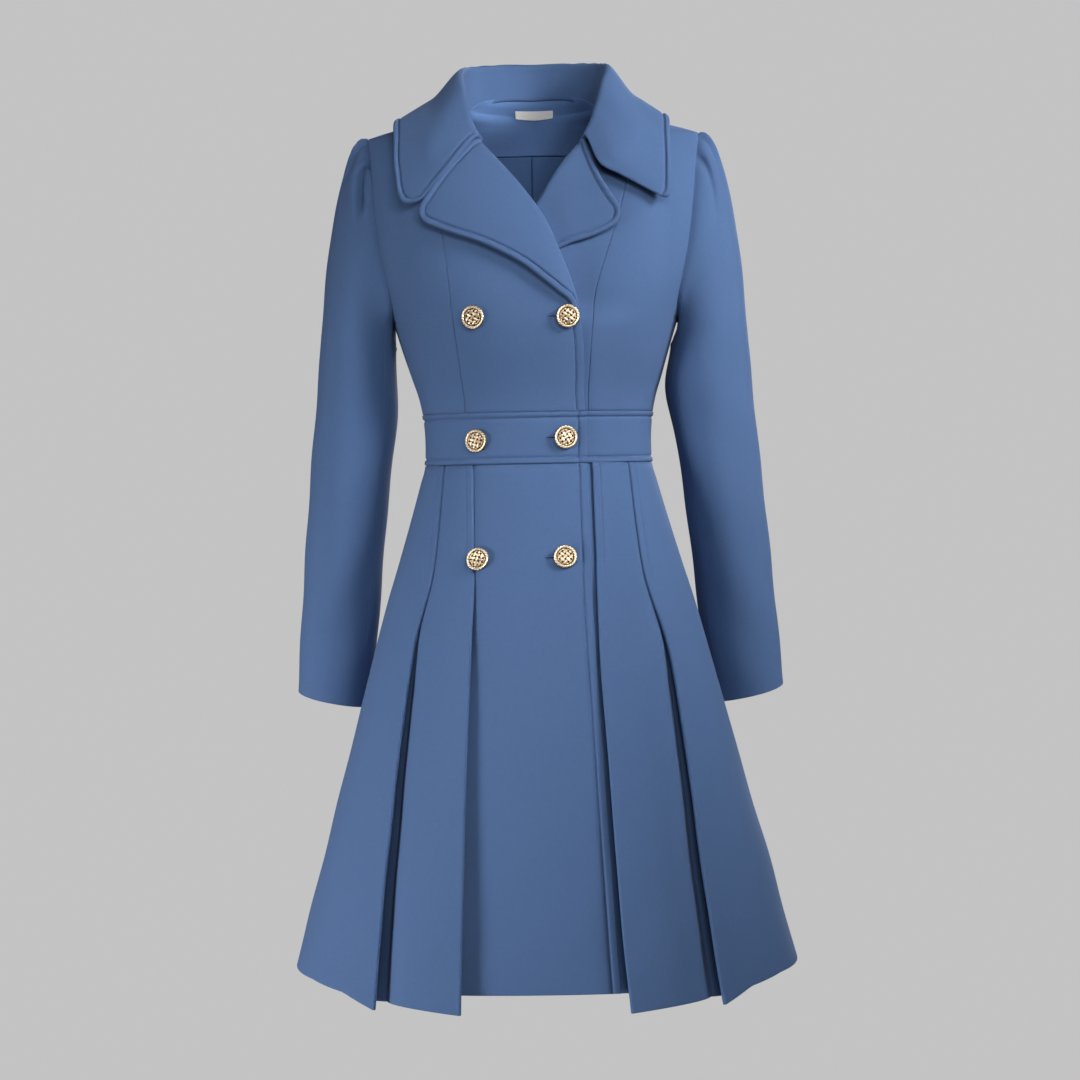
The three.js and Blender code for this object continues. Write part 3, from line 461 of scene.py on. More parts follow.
def plain_material(name, colour, roughness, grain, sheen=0.0):
    """A smooth woven stuff of one colour with a fine grain."""
    material, nodes, link, shader = new_material(name)
    dark, light = [c * 0.85 for c in colour], [min(1, c * 1.12) for c in colour]
    noise, tone = mottled(nodes, link, nodes.new("ShaderNodeTexCoord"), grain, 4, dark, light)
    link(tone, "Color", shader, "Base Color")
    bumped(nodes, link, noise, "Fac", shader, 0.3, 0.0002)
    set_inputs(shader, Roughness=roughness, Specular_IOR_Level=0.25, Sheen_Weight=sheen)
    return material


def gilt_material():
    """Polished pale gold, a little duller in places, with painted shade: dark brown in its recesses."""
    material, nodes, link, shader = new_material("gilt")
    place = nodes.new("ShaderNodeTexCoord")
    noise, tone = mottled(nodes, link, place, 350, 4, (0.88, 0.66, 0.42), (1.0, 0.87, 0.68))
    # The recess attribute paints shade: a dark brown mixed in where the button's relief lies low.
    recess, mixed = nodes.new("ShaderNodeAttribute"), nodes.new("ShaderNodeMix")
    recess.attribute_name, mixed.data_type = "recess", "RGBA"
    painted_shade = set_inputs(nodes.new("ShaderNodeMapRange"), From_Min=0.3, From_Max=0.7)
    link(recess, "Fac", painted_shade, "Value")
    link(painted_shade, "Result", mixed, "Factor")
    link(tone, "Color", mixed, MIX_A)
    mixed.inputs[MIX_B].default_value = (0.06, 0.03, 0.012, 1)
    link(mixed, MIX_RESULT, shader, "Base Color")
    rough = set_inputs(nodes.new("ShaderNodeMapRange"), To_Min=0.26, To_Max=0.4)
    link(noise, "Fac", rough, "Value")
    link(rough, "Result", shader, "Roughness")
    set_inputs(shader, Metallic=1)
    return material


COATING = coating_material("coating")
# The facing is the same coating painted 1.6 times as light: painted light for the shaded inside of the neck.
PAINTED_LIGHT_FACING = coating_material("facing", 1.6)
THREAD = plain_material("thread", (0.055, 0.11, 0.26), 0.75, 900, 0.2)
# The slit of a buttonhole is painted shade: a near-black sheet where the gap's shadow would lie.
PAINTED_SLIT_SHADE = plain_material("slit", (0.006, 0.012, 0.035), 0.9, 900)
LINING_STUFF = plain_material("lining", (0.06, 0.125, 0.28), 0.8, 700)
LABEL_STUFF = plain_material("label", (0.8, 0.79, 0.76), 0.8, 1500)
GILT = gilt_material()


# Bodice
WAIST_EASE, SIDE_TOP = 40, -12.2
HOLLOW = {"from": (150, -60), "to": (143, -190), "width": 12, "deep": 4.0, "left_share": 0.5}


def bodice_level(level, angle):
    """The level of a row, which bends into the waist seam's tilt near the waist."""
    waist = WAIST_TOP - WAIST_TILT * np.cos(angle)
    return mix(waist, level, np.clip((level - WAIST_TOP) / WAIST_EASE, 0, 1))


def hollow(x, z):
    """The soft fold that hangs between collar and armhole."""
    (x0, z0), (x1, z1) = HOLLOW["from"], HOLLOW["to"]
    line = mix(x0, x1, (z - z0) / (z1 - z0))
    along = smooth(z1 - 50, z1 + 70, z) * (1 - smooth(z0 - 40, z0 + 5, z))
    side = np.where(x < 0, 1.0, HOLLOW["left_share"])
    return HOLLOW["deep"] * side * along * np.exp(-(((np.abs(x) - line) / HOLLOW["width"]) ** 2))


def panel(start, end, top, depth, near=(), columns=44):
    """The outer face of a bodice panel between two lines, each an angle at a level."""
    levels = WAIST_TOP + spots(62, CLOTH / 2)(top - WAIST_TOP)
    rows = []
    for level in levels:
        angle = np.linspace(start(level), end(level), 240)
        z = bodice_level(level, angle)
        x = half(z) * np.sin(angle)
        pressed = smooth(WAIST_TOP, WAIST_TOP + 60, z) * (1 - smooth(-60, -20, z))
        uneven = unevenness(angle, z, 0.9) * pressed
        rows.append(on_form(angle, z, depth(x, z) + hollow(x, z) * (np.cos(angle) > 0) - uneven))
    return resample(np.array(rows), spots(columns, CLOTH / 2, *near))


def side_line(rows):
    """The outer line of the bodice: the armhole, and the seam above and below it."""
    return lambda z: QUARTER if z <= ARMHOLE_LOW or z >= ARMHOLE_TOP else line_angle(rows, z)


def opening_line(opening):
    """The front edge: the neck seam down to the gorge, then the fold of the lapel, then the edge itself."""
    line = curve(opening, "x")

    def at(z):
        if z > GORGE:
            return line_angle(NECK_FRONT, z)
        room = ROLL_ROOM * math.hypot(1, line(z + 1) - line(z)) * smooth(LAPEL_LOW_TO, LAPEL_LOW_FROM, z)
        return float(front_angle(-(line(z) - room), z))

    return at


def princess_line(rows):
    return lambda z: QUARTER if z >= PRINCESS_TOP else line_angle(rows, z)


def bodice_half(side, princess, opening, depth):
    name = "right" if side < 0 else "left"
    laps = side < 0
    seam, back_seam = princess_line(princess), princess_line(PRINCESS_BACK)

    def between(a, b):
        return (a, b) if side > 0 else (lambda z: -b(z), lambda z: -a(z))

    def behind(line):
        return lambda z: math.pi - line(z)

    def back_edge(z):
        if z < PRINCESS_TOP:
            return back_seam(z)
        return QUARTER if z <= 0 else line_angle(NECK_BACK, z)

    def part(place, start, end, top, depth, near=(), columns=44, lift=None):
        grid = panel(*between(start, end), top, depth, near, columns)
        cloth(f"{place}_{name}", grid, CLOTH, COATING, lift=lift(grid) if lift else None)

    def edge_relief(grid):
        return stitched(distances(grid)[1], EDGE_STITCH) * (1 - smooth(-236, -222, grid[..., 2]))

    part("front_centre", opening_line(opening), seam, -1.5, depth, ((), (EDGE_STITCH,)) if laps else (), 64,
         edge_relief if laps else None)
    part("front_side", seam, side_line(ARMHOLE_FRONT), SIDE_TOP, depth)
    part("back_side", behind(side_line(ARMHOLE_BACK)), behind(back_seam), SIDE_TOP, flush)
    part("back_centre", behind(back_edge), lambda z: math.pi, 15.6, flush, (), 52)


bodice_half(-1, PRINCESS_RIGHT, OPENING_RIGHT, flush)
bodice_half(1, PRINCESS_LEFT, OPENING_LEFT, underlap)


# Waistband
def band(node, start, end, depth, count, laps=False):
    rows = []
    angle = np.linspace(start, end, 400)
    low, top = (level - WAIST_TILT * np.cos(angle) for level in (WAIST_LOW, WAIST_TOP))
    height = WAIST_TOP - WAIST_LOW
    for share in spots(12, CLOTH / 2, (BAND_STITCH,), (BAND_STITCH,))(height) / height:
        z = mix(low, top, share)
        rows.append(on_form(angle, z, depth(half(z) * np.sin(angle), z)))
    grid = resample(np.array(rows), spots(count, CLOTH / 2, (), (EDGE_STITCH,) if laps else ()))
    _, front_edge, low_edge, top_edge = distances(grid)
    lift = stitched(low_edge, BAND_STITCH) + stitched(top_edge, BAND_STITCH)
    if laps:
        lift = lift + stitched(front_edge, EDGE_STITCH)
    cloth(node, grid, CLOTH, COATING, lift=lift)
    front_row = [line_at(node, 1, EDGE_STITCH)] if laps else []
    stitches(node, [line_at(node, 2, BAND_STITCH), line_at(node, 3, BAND_STITCH)] + front_row)


def waistband():
    level = (WAIST_TOP + WAIST_LOW) / 2
    band("band_right", -QUARTER, line_angle(OPENING_RIGHT, level), flush, 70, laps=True)
    band("band_left", -line_angle(OPENING_LEFT, level), QUARTER, underlap, 70)
    band("band_back", QUARTER, 3 * QUARTER, flush, 90)


waistband()

# Skirt
FOLDS_RIGHT = table("z first second", [
    (-389, 70, 102), (-500, 69.5, 113), (-577, 73, 134), (-705, 79, 153), (-850, 84, 169),
    (-960, 87, 179)])
FOLDS_LEFT = table("z first second", [
    (-389, 61.5, 100.5), (-500, 64.5, 113), (-592, 67, 140), (-700, 74, 156), (-859, 84, 175),
    (-960, 93, 190)])
FOLDS_BACK = table("z first second", [
    (-389, 62, 98), (-500, 65, 112), (-590, 70, 138), (-700, 77, 156), (-860, 86, 174),
    (-960, 91, 186)])
UNDERLAY_TOP, UNDERLAY_HEM, SECOND_DEPTH = 26, 38, 28
FALL_BACK = {"first": 2.6, "second": 4.6}
PRESSED, FOLD_ROUND = 3.5, 1.5
SIDE_RISE = {"fold": -3, "near": 12, "far": 20, "side": 25}
HEM_RISE = {"centre": 15, "fold": -5, "panel": 6}


def skirt_row(level, folds, start, depths):
    """The middle of the cloth at one level: rows of angle, depth inside the form and rise of the hem, and the
    number of the row at which the cloth comes out of each fold. Pleats lie flush where they are stitched."""
    down = float(np.clip((STITCHED_LOW - level) / (STITCHED_LOW - HEM), 0, 1))
    opened = down**0.85
    share = float(np.clip((WAIST_LOW - level) / (WAIST_LOW - HEM), 0, 1))
    shut, wide = 2 * LAYER, float(half(level))
    hidden = mix(UNDERLAY_TOP, UNDERLAY_HEM, share) / wide
    first, second = (line_angle(folds, level, n) for n in ("first", "second"))
    rows, tips = [], []
    at = [start, mix(depths[0], depths[1], opened), HEM_RISE["centre"]]

    def fall_back(name, length):
        return mix(length / PRESSED, FALL_BACK[name], float(smooth(0, 0.3, down)))

    def stretch(angle, depth, rise, ts, late=1):
        rows.append(np.stack([mix(at[0], angle, ts), mix(at[1], depth, ts**late), mix(at[2], rise, ts)], -1))
        at[:] = [angle, depth, rise]

    def turn(angle, depth, way, rise):
        """Half a turn round a fold, on the side that way points to, towards the form's face."""
        t = np.linspace(0, np.pi, 9)[1:]
        a, d = angle + way * LAYER / 2 / wide * np.sin(t), depth + LAYER / 2 * np.cos(t)
        rows.append(np.stack([a, d, np.full_like(a, rise)], -1))
        at[:] = [a[-1], d[-1], rise]

    def even(count):
        return np.linspace(0, 1, count + 1)[1:]

    def beside(length, count, near, far=()):
        return (spots(count, CLOTH / 2, near, far)(length) / length)[1:]

    def pleat(angle, behind, late, above, rise, fold_rise, ts):
        deepest = max(behind, above + shut)
        stretch(angle, behind, rise, ts, late)
        stretch(angle + hidden, deepest, rise, even(8))
        turn(angle + hidden, deepest - LAYER / 2, 1, rise)
        stretch(angle, LAYER, fold_rise, even(10))
        turn(angle, LAYER / 2, -1, fold_rise)
        tips.append(sum(len(r) for r in rows) - 1)

    rows.append(np.array([at]))
    reach, between = 2 * wide * math.sin((first - start) / 2), wide * (second - first)
    first_late, second_late = fall_back("first", reach), fall_back("second", between)
    second_depth = mix(shut, SECOND_DEPTH, opened)
    above = second_depth * (hidden * wide / between) ** second_late
    pleat(first, mix(shut, depths[2], opened), first_late, above, HEM_RISE["centre"], HEM_RISE["fold"],
          beside(reach, 40, (EDGE_STITCH,), (FOLD_ROUND,)))
    pleat(second, second_depth, second_late, 0, HEM_RISE["panel"], SIDE_RISE["fold"],
          beside(between, 16, (FOLD_STITCH,), (FOLD_ROUND,)))
    ts = beside(wide * (QUARTER - second), 26, (FOLD_STITCH,))
    rise = np.interp(ts, [0, 0.2, 0.5, 1], list(SIDE_RISE.values()))
    rows.append(np.stack([mix(at[0], QUARTER, ts), 0 * ts, rise], -1))
    return np.concatenate(rows), tips


# How the skirt's top turns in under the waistband: how far above the seam, and how much deeper.
TURNED_IN = [(8, 2.8), (3, 2.8), (1.4, 2.6), (0.4, 2.2), (-0.5, 1.5), (-1.4, 0.8), (-2.6, 0.25)]


def skirt_piece(node, side, facing, folds, start, depths, laps=False):
    drop = WAIST_LOW - HEM
    rows = [(0.0, raised, tucked) for raised, tucked in TURNED_IN]
    rows += [(share, 0.0, 0.0) for share in spots(66, CLOTH / 2)(drop)[3:] / drop]
    points = []
    for share, raised, tucked in rows:
        level = mix(WAIST_LOW, HEM, share)
        keys, tips = skirt_row(level, folds, start(level), depths)
        turned = side * keys[:, 0] if facing > 0 else np.pi - side * keys[:, 0]
        top = WAIST_LOW - WAIST_TILT * np.cos(turned) + raised
        z = mix(top, HEM + keys[:, 2], share)
        uneven = unevenness(turned, z, 2.0) * smooth(0.25, 1, share)
        points.append(on_form(turned, z, keys[:, 1] + CLOTH / 2 + tucked - uneven))
    grid = np.array(points)
    across = lengths(grid, 1)
    lift = stitched(across, EDGE_STITCH) if laps else np.zeros(across.shape)
    sewn = smooth(STITCHED_LOW - 6, STITCHED_LOW + 2, grid[..., 2])
    for tip in tips:
        lift = lift + groove(across - across[:, tip:tip + 1], FOLD_STITCH, 0.9, 0.7) * sewn
    cloth(node, grid, CLOTH, COATING, lift=lift, outer=False, flip=(side * facing > 0))
    if laps:
        stitches(node, [line_at(node, 0, EDGE_STITCH)])


def skirt():
    def edge(opening):
        return lambda z: line_angle(opening, z, way=-1)

    def centre_back(z):
        return 0.0

    skirt_piece("skirt_front_right", -1, 1, FOLDS_RIGHT, edge(OPENING_RIGHT), (0, 19, 18), laps=True)
    skirt_piece("skirt_front_left", 1, 1, FOLDS_LEFT, edge(OPENING_LEFT), (3.2, 29, 27))
    skirt_piece("skirt_back_right", -1, -1, FOLDS_BACK, centre_back, (0, 20, 18))
    skirt_piece("skirt_back_left", 1, -1, FOLDS_BACK, centre_back, (0, 20, 18))


skirt()

# Sleeves
SLEEVE = table("z outer inner depth middle", [
    (-262, 236, 152.5, 58, 4), (-318, 241.5, 152, 57, 8), (-423, 251.5, 163.5, 54, 18),
    (-540, 262.5, 176, 50, 38), (-660, 274.5, 190.5, 44, 66)])
CUFF_Z, CUFF_INWARD, CUFF_FORWARD, SWAY = -646, 9, 5, 4
CLOSER = {-1: 0, 1: 8}
TUCKS = {-1: (-40, -15, 12), 1: (-40, -15, 15, 42)}
TUCK_DEPTH, TUCK_LENGTH, TUCK_SLANT = {-1: 6.0, 1: 4.0}, 68, 14
# How far the curve of the sleeve head leaves the armhole, and how far above its end it turns down, under the
# arm and at the shoulder.
HEAD_REACH, HEAD_DROP = (7, 26), (8, 132)
# The crease of the full fold on the front of the wearer's right sleeve head.
HEAD_FOLD, HEAD_FOLD_DEPTH = table("z x", [(-100, 189), (-75, 188.5), (-66, 185), (-57, 177)]), 7.5
SLEEVE_SEAMS = (140, 220)
sleeve_curves = [curve(SLEEVE, n) for n in ("outer", "inner", "depth", "middle")]


def armhole(turn):
    """The armhole of the wearer's left side: 0 at the shoulder, a quarter turn at the front."""
    z = (ARMHOLE_TOP + ARMHOLE_LOW) / 2 + (ARMHOLE_TOP - ARMHOLE_LOW) / 2 * np.cos(turn)
    z = np.clip(z, ARMHOLE_LOW, ARMHOLE_TOP)
    to_front = front_angle(curve(ARMHOLE_FRONT, "x")(z), z)
    to_back = np.pi - front_angle(curve(ARMHOLE_BACK, "x")(z), z)
    return form(np.where(np.sin(turn) >= 0, to_front, to_back), z)


def sleeve_ring(turn, z, side):
    outer, inner, depth, mid = (c(z) for c in sleeve_curves)
    inner = inner - CLOSER[side] * np.exp(-(((z + 302) / 34) ** 2))
    x = (outer + inner) / 2 + (outer - inner) / 2 * np.cos(turn)
    return np.stack([x, mid - depth * np.sin(turn), z], -1)


def bare_sleeve(turn, share, side):
    top = (1 + np.cos(turn)) / 2
    cuff = CUFF_Z + CUFF_INWARD * np.cos(turn) - CUFF_FORWARD * np.sin(turn)
    below = sleeve_ring(turn, mix(SLEEVE_START, cuff, np.clip(share - 1, 0, 1)), side)
    end = sleeve_ring(turn, np.full_like(turn, SLEEVE_START), side)
    out = unit(np.stack([mix(0.35, 1, top), -0.4 * np.sin(turn), mix(-0.9, 0.3, top)], -1))
    p0 = armhole(turn) + np.stack([0.3 + 0 * turn, 0 * turn, 0.2 * top], -1)
    p1 = p0 + out * mix(*HEAD_REACH, top)[..., None]
    p2 = end + mix(*HEAD_DROP, top)[..., None] * np.array([-0.06, 0.02, 1])
    t = np.clip(share, 0, 1)[..., None]
    s = 1 - t
    head = s**3 * p0 + 3 * s * s * t * p1 + 3 * s * t * t * p2 + t**3 * end
    return np.where((share > 1)[..., None], below, head)


def tuck_dip(turn, from_seam, side):
    """How deep the tucks lie. Each is fuller on the side of the shoulder and falls to the front or back."""
    degrees = np.degrees(np.arctan2(np.sin(turn), np.cos(turn)))
    dip = 0
    for at in TUCKS[side]:
        way = 1 if at > 0 else -1
        past = way * (degrees - at) - TUCK_SLANT * smooth(0, TUCK_LENGTH, from_seam)
        crease = np.exp(-(((past - 2) / np.where(past > 2, 8, 2.2)) ** 2))
        full = np.exp(-(((past + 6) / 7) ** 2))
        dip = dip + TUCK_DEPTH[side] * (crease - 0.4 * full)
    return dip * (1 - smooth(0.1 * TUCK_LENGTH, TUCK_LENGTH, from_seam)) * smooth(-6, 6, from_seam)


def head_fold(points, turn):
    """How deep the crease of the full fold lies. It is narrow where the fold lies over it."""
    z = points[..., 2]
    past = points[..., 0] - curve(HEAD_FOLD, "x")(z)
    crease = np.exp(-((past / 2.4) ** 2)) + 0.5 * np.exp(-((past / 9) ** 2)) * (1 - smooth(-2, 2, past))
    full = 0.3 * np.exp(-(((past - 8) / 6) ** 2))
    along = smooth(-128, -95, z) * (1 - smooth(-60, -53, z))
    return HEAD_FOLD_DEPTH * (crease - full) * along * (np.sin(turn) > 0)


def turned_in(turns):
    """The seam allowance of the sleeve, under the edge of the armhole."""
    edge = armhole(turns)
    z = edge[:, 2]
    angle = np.where(np.sin(turns) >= 0, front_angle(edge[:, 0], z), back_angle(edge[:, 0], z))
    n = form_normal(angle, z)
    centre = armhole(np.linspace(0, 2 * np.pi, 60)).mean(0)
    away = edge - centre
    away = unit(away - n * (away * n).sum(-1, keepdims=True))
    return np.stack([edge + away * 5 - n * 3.4, edge + away * 0.4 - n * 2.4])


def sleeve_piece(node, side, first, last, count):
    turns = np.radians(np.linspace(first, last, count * 3))
    head = np.linspace(0, 1, 60)**1.15
    shares = np.concatenate([head, 1 + np.linspace(0, 1, 90)[1:]])
    turn, share = np.meshgrid(turns, shares)
    grid = bare_sleeve(turn, share, side)
    n = normals(grid)
    fold = head_fold(grid, turn) if side < 0 else 0
    from_seam = np.linalg.norm(grid - armhole(turn), axis=-1)
    uneven = 1.1 * np.sin(3 * turn + share * 9) * np.sin(share * 14 + 1) * smooth(0.3, 1.1, share)
    grid = grid - n * (tuck_dip(turn, from_seam, side) + fold + uneven)[..., None]
    grid = np.concatenate([turned_in(turns), grid])
    sway = np.concatenate([[0, 0], SWAY * np.clip(shares - 0.3, 0, 1)])
    grid[..., 0] = side * grid[..., 0] - sway[:, None]
    grid = resample(grid, spots(count, CLOTH / 2))
    grid = swapped(resample(swapped(grid), spots(124, CLOTH / 2)))
    cloth(node, grid, CLOTH, COATING, flip=side < 0,
          round_off=0.4)


for side, name in ((-1, "right"), (1, "left")):
    sleeve_piece(f"sleeve_top_{name}", side, -SLEEVE_SEAMS[0], SLEEVE_SEAMS[0], 126)
    sleeve_piece(f"sleeve_under_{name}", side, *SLEEVE_SEAMS, 26)

# Collar and lapels
def through(points, knots, at):
    """A smooth curve through points at knots."""
    points, knots = np.asarray(points, float), np.asarray(knots, float)
    weight = np.diff(knots)[:, None]
    slope = np.diff(points, axis=0) / weight
    inner = (slope[:-1] * weight[1:] + slope[1:] * weight[:-1]) / (weight[1:] + weight[:-1])
    tangent = np.concatenate([slope[:1], inner, slope[-1:]])
    i = np.clip(np.searchsorted(knots, at, side="right") - 1, 0, len(knots) - 2)
    span = (knots[i + 1] - knots[i])[:, None]
    t = (at[:, None] - knots[i][:, None]) / span
    return cubic(points[i], points[i + 1], tangent[i], tangent[i + 1], span, t)


def chord(points):
    """Knots for a curve through points, spread by the root of the steps between them."""
    step = np.sqrt(np.linalg.norm(np.diff(points, axis=0), axis=1))
    run = np.concatenate([[0], np.cumsum(step)])
    return run / run[-1]


# One row for each station round the neck: the neck seam, the fold, the middle of the fall, the outer edge.
COLLAR = np.array([
    [(-54, -55, -42), (-58, -67, -39), (-84, -86, -69), (-119, -95, -112)],
    [(-60, -48, -30), (-64, -60, -24), (-102, -79, -64), (-139, -86, -109)],
    [(-64, -41, -23), (-69, -49, -6), (-108, -66, -42), (-147, -68, -78)],
    [(-70, -27, -13), (-74, -30, 20), (-108, -42, -12), (-150, -44, -40)],
    [(-74, -2, 0), (-78, 4, 44), (-107, -4, 14), (-149, -8, -12)],
    [(-62, 32, 8), (-67, 44, 55), (-94, 60, 22), (-118, 70, -30)],
    [(-34, 51, 18), (-38, 64, 60), (-54, 84, 24), (-66, 94, -34)],
    [(0, 61, 19), (0, 72, 61), (0, 92, 26), (0, 100, -35)],
    [(34, 51, 18), (40, 64, 60), (56, 84, 24), (68, 94, -34)],
    [(62, 32, 8), (72, 44, 56), (98, 60, 22), (120, 70, -30)],
    [(74, -2, 0), (83, 4, 46), (109, -4, 14), (147, -10, -13)],
    [(70, -27, -13), (77, -30, 22), (110, -46, -12), (149, -50, -45)],
    [(64, -41, -23), (70, -49, -6), (106, -73, -42), (149, -76, -80)],
    [(60, -48, -30), (64, -60, -25), (90, -87, -62), (148, -86, -104)],
    [(54, -55, -42), (57, -67, -39), (74, -88, -73), (144, -90, -112)]], float)


def rounded_corner(grid, a, b, radius):
    """Rounds the corner where two borders meet. a and b are the distances from the two borders."""
    inside = (a < radius) & (b < radius)
    p, q = radius - a, radius - b
    size = np.maximum(np.hypot(p, q), 1e-6)
    k = np.maximum(p, q) / size
    move_a, move_b = np.where(inside, p - p * k, 0), np.where(inside, q - q * k, 0)
    towards_a = unit(np.gradient(grid, axis=0)) * np.sign(np.gradient(a, axis=0))[..., None]
    towards_b = unit(np.gradient(grid, axis=1)) * np.sign(np.gradient(b, axis=1))[..., None]
    return grid + towards_a * move_a[..., None] + towards_b * move_b[..., None]


def collar():
    sections = []
    across = np.linspace(0, 1, 90)
    for neck, roll, fall, edge in COLLAR:
        stand = mix(neck, roll, 0.72)
        shoulder = mix(roll, fall, 0.2) + (0, 0, 2.5)
        points = np.array([neck, stand, roll, shoulder, fall, mix(fall, edge, 0.3), edge])
        sections.append(through(points, chord(points), across))
    sections = np.array(sections)
    knots = chord(sections[:, 50])
    stations = np.linspace(0, 1, 500)
    grid = np.stack([through(sections[:, j], knots, stations) for j in range(len(across))], 1)
    grid = resample(grid, spots(58, DOUBLED / 2, (), (COLLAR_STITCH,)))
    grid = swapped(resample(swapped(grid), spots(210, DOUBLED / 2, (COLLAR_STITCH,), (COLLAR_STITCH,))))
    for which, radius in ((2, 12), (3, 5)):
        d = distances(grid)
        grid = rounded_corner(grid, d[which], d[1], radius)
    _, edge, right, _ = distances(grid)
    lift = stitched(np.minimum(edge, right), COLLAR_STITCH)
    cloth("collar", grid, DOUBLED, COATING, lift=lift, outer=False, flip=True)
    stitches("collar", [line_at("collar", 1, COLLAR_STITCH)])


collar()

TURN, HOOK, LAPEL_GAP = 3.0, 7.0, 0.7
# One row for each station from the gorge to the break: x and z of the fold, x and z of the outer edge, the
# bow of the line between them, and how far its middle and its edge stand off the front.
LAPEL_RIGHT = [
    (-58, -40, -125, -129, 3, 7, 6), (-49, -51, -107, -138, 2, 7, 6), (-32, -71, -84, -148, 1, 7, 6),
    (-10, -98, -50, -161, 1, 6, 5.5), (12, -131, -11, -182, 0, 5, 5), (27, -165, 14, -201, 0, 4, 4),
    (37, -192, 29, -213, 0, 3, 3), (43, -210, 38.5, -221, 0, 2, 1.5), (46.8, -227, 44, -233, 0, 0.5, -0.6),
    (48.6, -243, 46, -246.5, 0, 0, -3.8)]
LAPEL_LEFT = [
    (56, -41, 100, -132, -5, 8, 8), (45, -54, 86, -142, -3, 7, 6), (32, -70, 67, -150, -1, 6, 4),
    (12, -99, 38, -158, 0, 1.5, 1), (-10, -135, 8, -174, 0, 0.3, 0), (-26, -167, -17, -193, 0, 0, 0),
    (-40, -205, -37, -217, 0, 0, 0)]


def lapel(node, stations, side, front_depth, tip):
    """A lapel, which hooks round the fold of the front and lies over the front up to its outer edge."""
    data = np.array(stations, float)
    knots = chord(data[:, :2])
    on_top, inside = DOUBLED / 2 + LAPEL_GAP, -(CLOTH + DOUBLED / 2 + 1)
    halfway = (inside + on_top) / 2
    rows = []
    for at in np.linspace(0, 1, 220):
        near = np.clip([at, at - 0.01, at + 0.01], 0, 1)
        here, before, after = through(data, knots, near)
        roll, edge, (bow, swell, rim) = here[:2], here[2:4], here[4:]
        tangent = after[:2] - before[:2]
        square = side * np.array([-tangent[1], tangent[0]]) / np.linalg.norm(tangent)
        start = roll + square * TURN
        width = np.linalg.norm(edge - start)
        along = (edge - start) / width
        hook = min(HOOK, width * 0.4) + TURN
        fold = np.array([[hook, inside], [TURN, inside], [0.7, inside + 1.1], [0, halfway],
                         [0.7, on_top - 1.1], [TURN, on_top]])
        fold = through(fold, chord(fold), np.linspace(0, 1, 40))
        t = np.linspace(0, 1, 80)[1:]
        raised = bow * np.sin(np.pi * t**0.7)
        bulge = np.sin(np.pi * np.minimum(1, t * 0.62 + 0.02)) * swell
        sunk = min(rim, 0)
        lift = np.concatenate([fold[:, 1] + sunk, on_top + sunk + max(rim, 0) * t * t + bulge * (1 - t * t)])
        bowed = raised[:, None] * np.array([-side * along[1], abs(along[0])])
        flat = np.concatenate([roll + fold[:, :1] * square, start + width * t[:, None] * along + bowed])
        x, z = flat[:, 0], flat[:, 1]
        rows.append(on_form(front_angle(x, z), z, front_depth(x, z) - lift))
    grid = resample(np.array(rows), spots(70, DOUBLED / 2, (), (COLLAR_STITCH,)))
    grid = swapped(resample(swapped(grid), spots(90, DOUBLED / 2, (COLLAR_STITCH,), ())))
    d = distances(grid)
    grid = rounded_corner(grid, d[2], d[1], tip)
    _, edge, top, _ = distances(grid)
    lift = stitched(np.minimum(edge, top), COLLAR_STITCH)
    cloth(node, grid, DOUBLED, COATING, lift=lift, outer=False, flip=side > 0)
    stitches(node, [line_at(node, 1, COLLAR_STITCH)])


lapel("lapel_right", LAPEL_RIGHT, -1, flush, 22)
lapel("lapel_left", LAPEL_LEFT, 1, underlap, 20)


# Inside the neck
FACING_LOW, FACING_TOP = -38, 22.5
FACING_EDGE = table("z x", [
    (-38, 88), (-18, 84), (-9, 81), (0, 77), (6, 73.5), (11, 69), (15, 63), (18, 54), (20.5, 44), (22.5, 30)])
LINING_LOW, LINING_TOP, LINING_NARROW, LINING_WIDE = -322, -39, 64, 88
LABEL_LOW, LABEL_TOP, LABEL_WIDTH = 1.5, 11.5, 45


def inside_back(low, top, thickness, rows, columns, at):
    """The grid of a piece inside the back, where at gives x and the depth of its row at a level."""
    grid = []
    for z in low + spots(rows, thickness / 2)(top - low):
        x, depth = at(z)
        grid.append(on_form(back_angle(x, z), z, depth + 0 * x))
    return resample(np.array(grid), spots(columns, thickness / 2))


def back_facing():
    edge = curve(FACING_EDGE, "x")

    def at(z):
        return np.linspace(-edge(z), edge(z), 160), CLOTH + 1.6

    grid = inside_back(FACING_LOW, FACING_TOP, CLOTH / 2, 26, 60, at)
    # The facing wears the coating painted lighter, as painted light inside the neck.
    cloth("back_facing", grid, CLOTH / 2, PAINTED_LIGHT_FACING, flip=True)


def back_lining():
    """The lining of the back. Its centre pleat is a path of the share of the width and the ply."""
    outside, ply = CLOTH + 1 + LINING / 2, LINING + 0.5
    keys = np.array([(-1, 1), (-0.2, 1.4), (0.02, 2), (0.032, 1.5), (0.02, 1), (-0.14, 1), (-0.152, 0.5),
                     (-0.14, 0), (0.2, 0), (1, 0)])
    path = through(keys, chord(keys), np.linspace(0, 1, 260))

    def at(z):
        reach = min(LINING_WIDE, mix(LINING_NARROW, LINING_WIDE, (z - LINING_LOW) / 150))
        return -reach * path[:, 0], outside + ply * np.clip(path[:, 1], 0, 2)

    grid = inside_back(LINING_LOW, LINING_TOP, LINING, 36, 120, at)
    cloth("back_lining", grid, LINING, LINING_STUFF, outer=False)


def neck_label():
    def at(z):
        return np.linspace(-LABEL_WIDTH / 2, LABEL_WIDTH / 2, 60), CLOTH * 1.5 + 2.2 + LABEL / 2

    grid = inside_back(LABEL_LOW, LABEL_TOP, LABEL, 8, 30, at)
    cloth("neck_label", grid, LABEL, LABEL_STUFF, outer=False)


back_facing()
back_lining()
neck_label()

# Topstitching on the lapping front
stitches("front_centre_right", [line_at("front_centre_right", 1, EDGE_STITCH, lambda p: p[:, 2] < -238)])

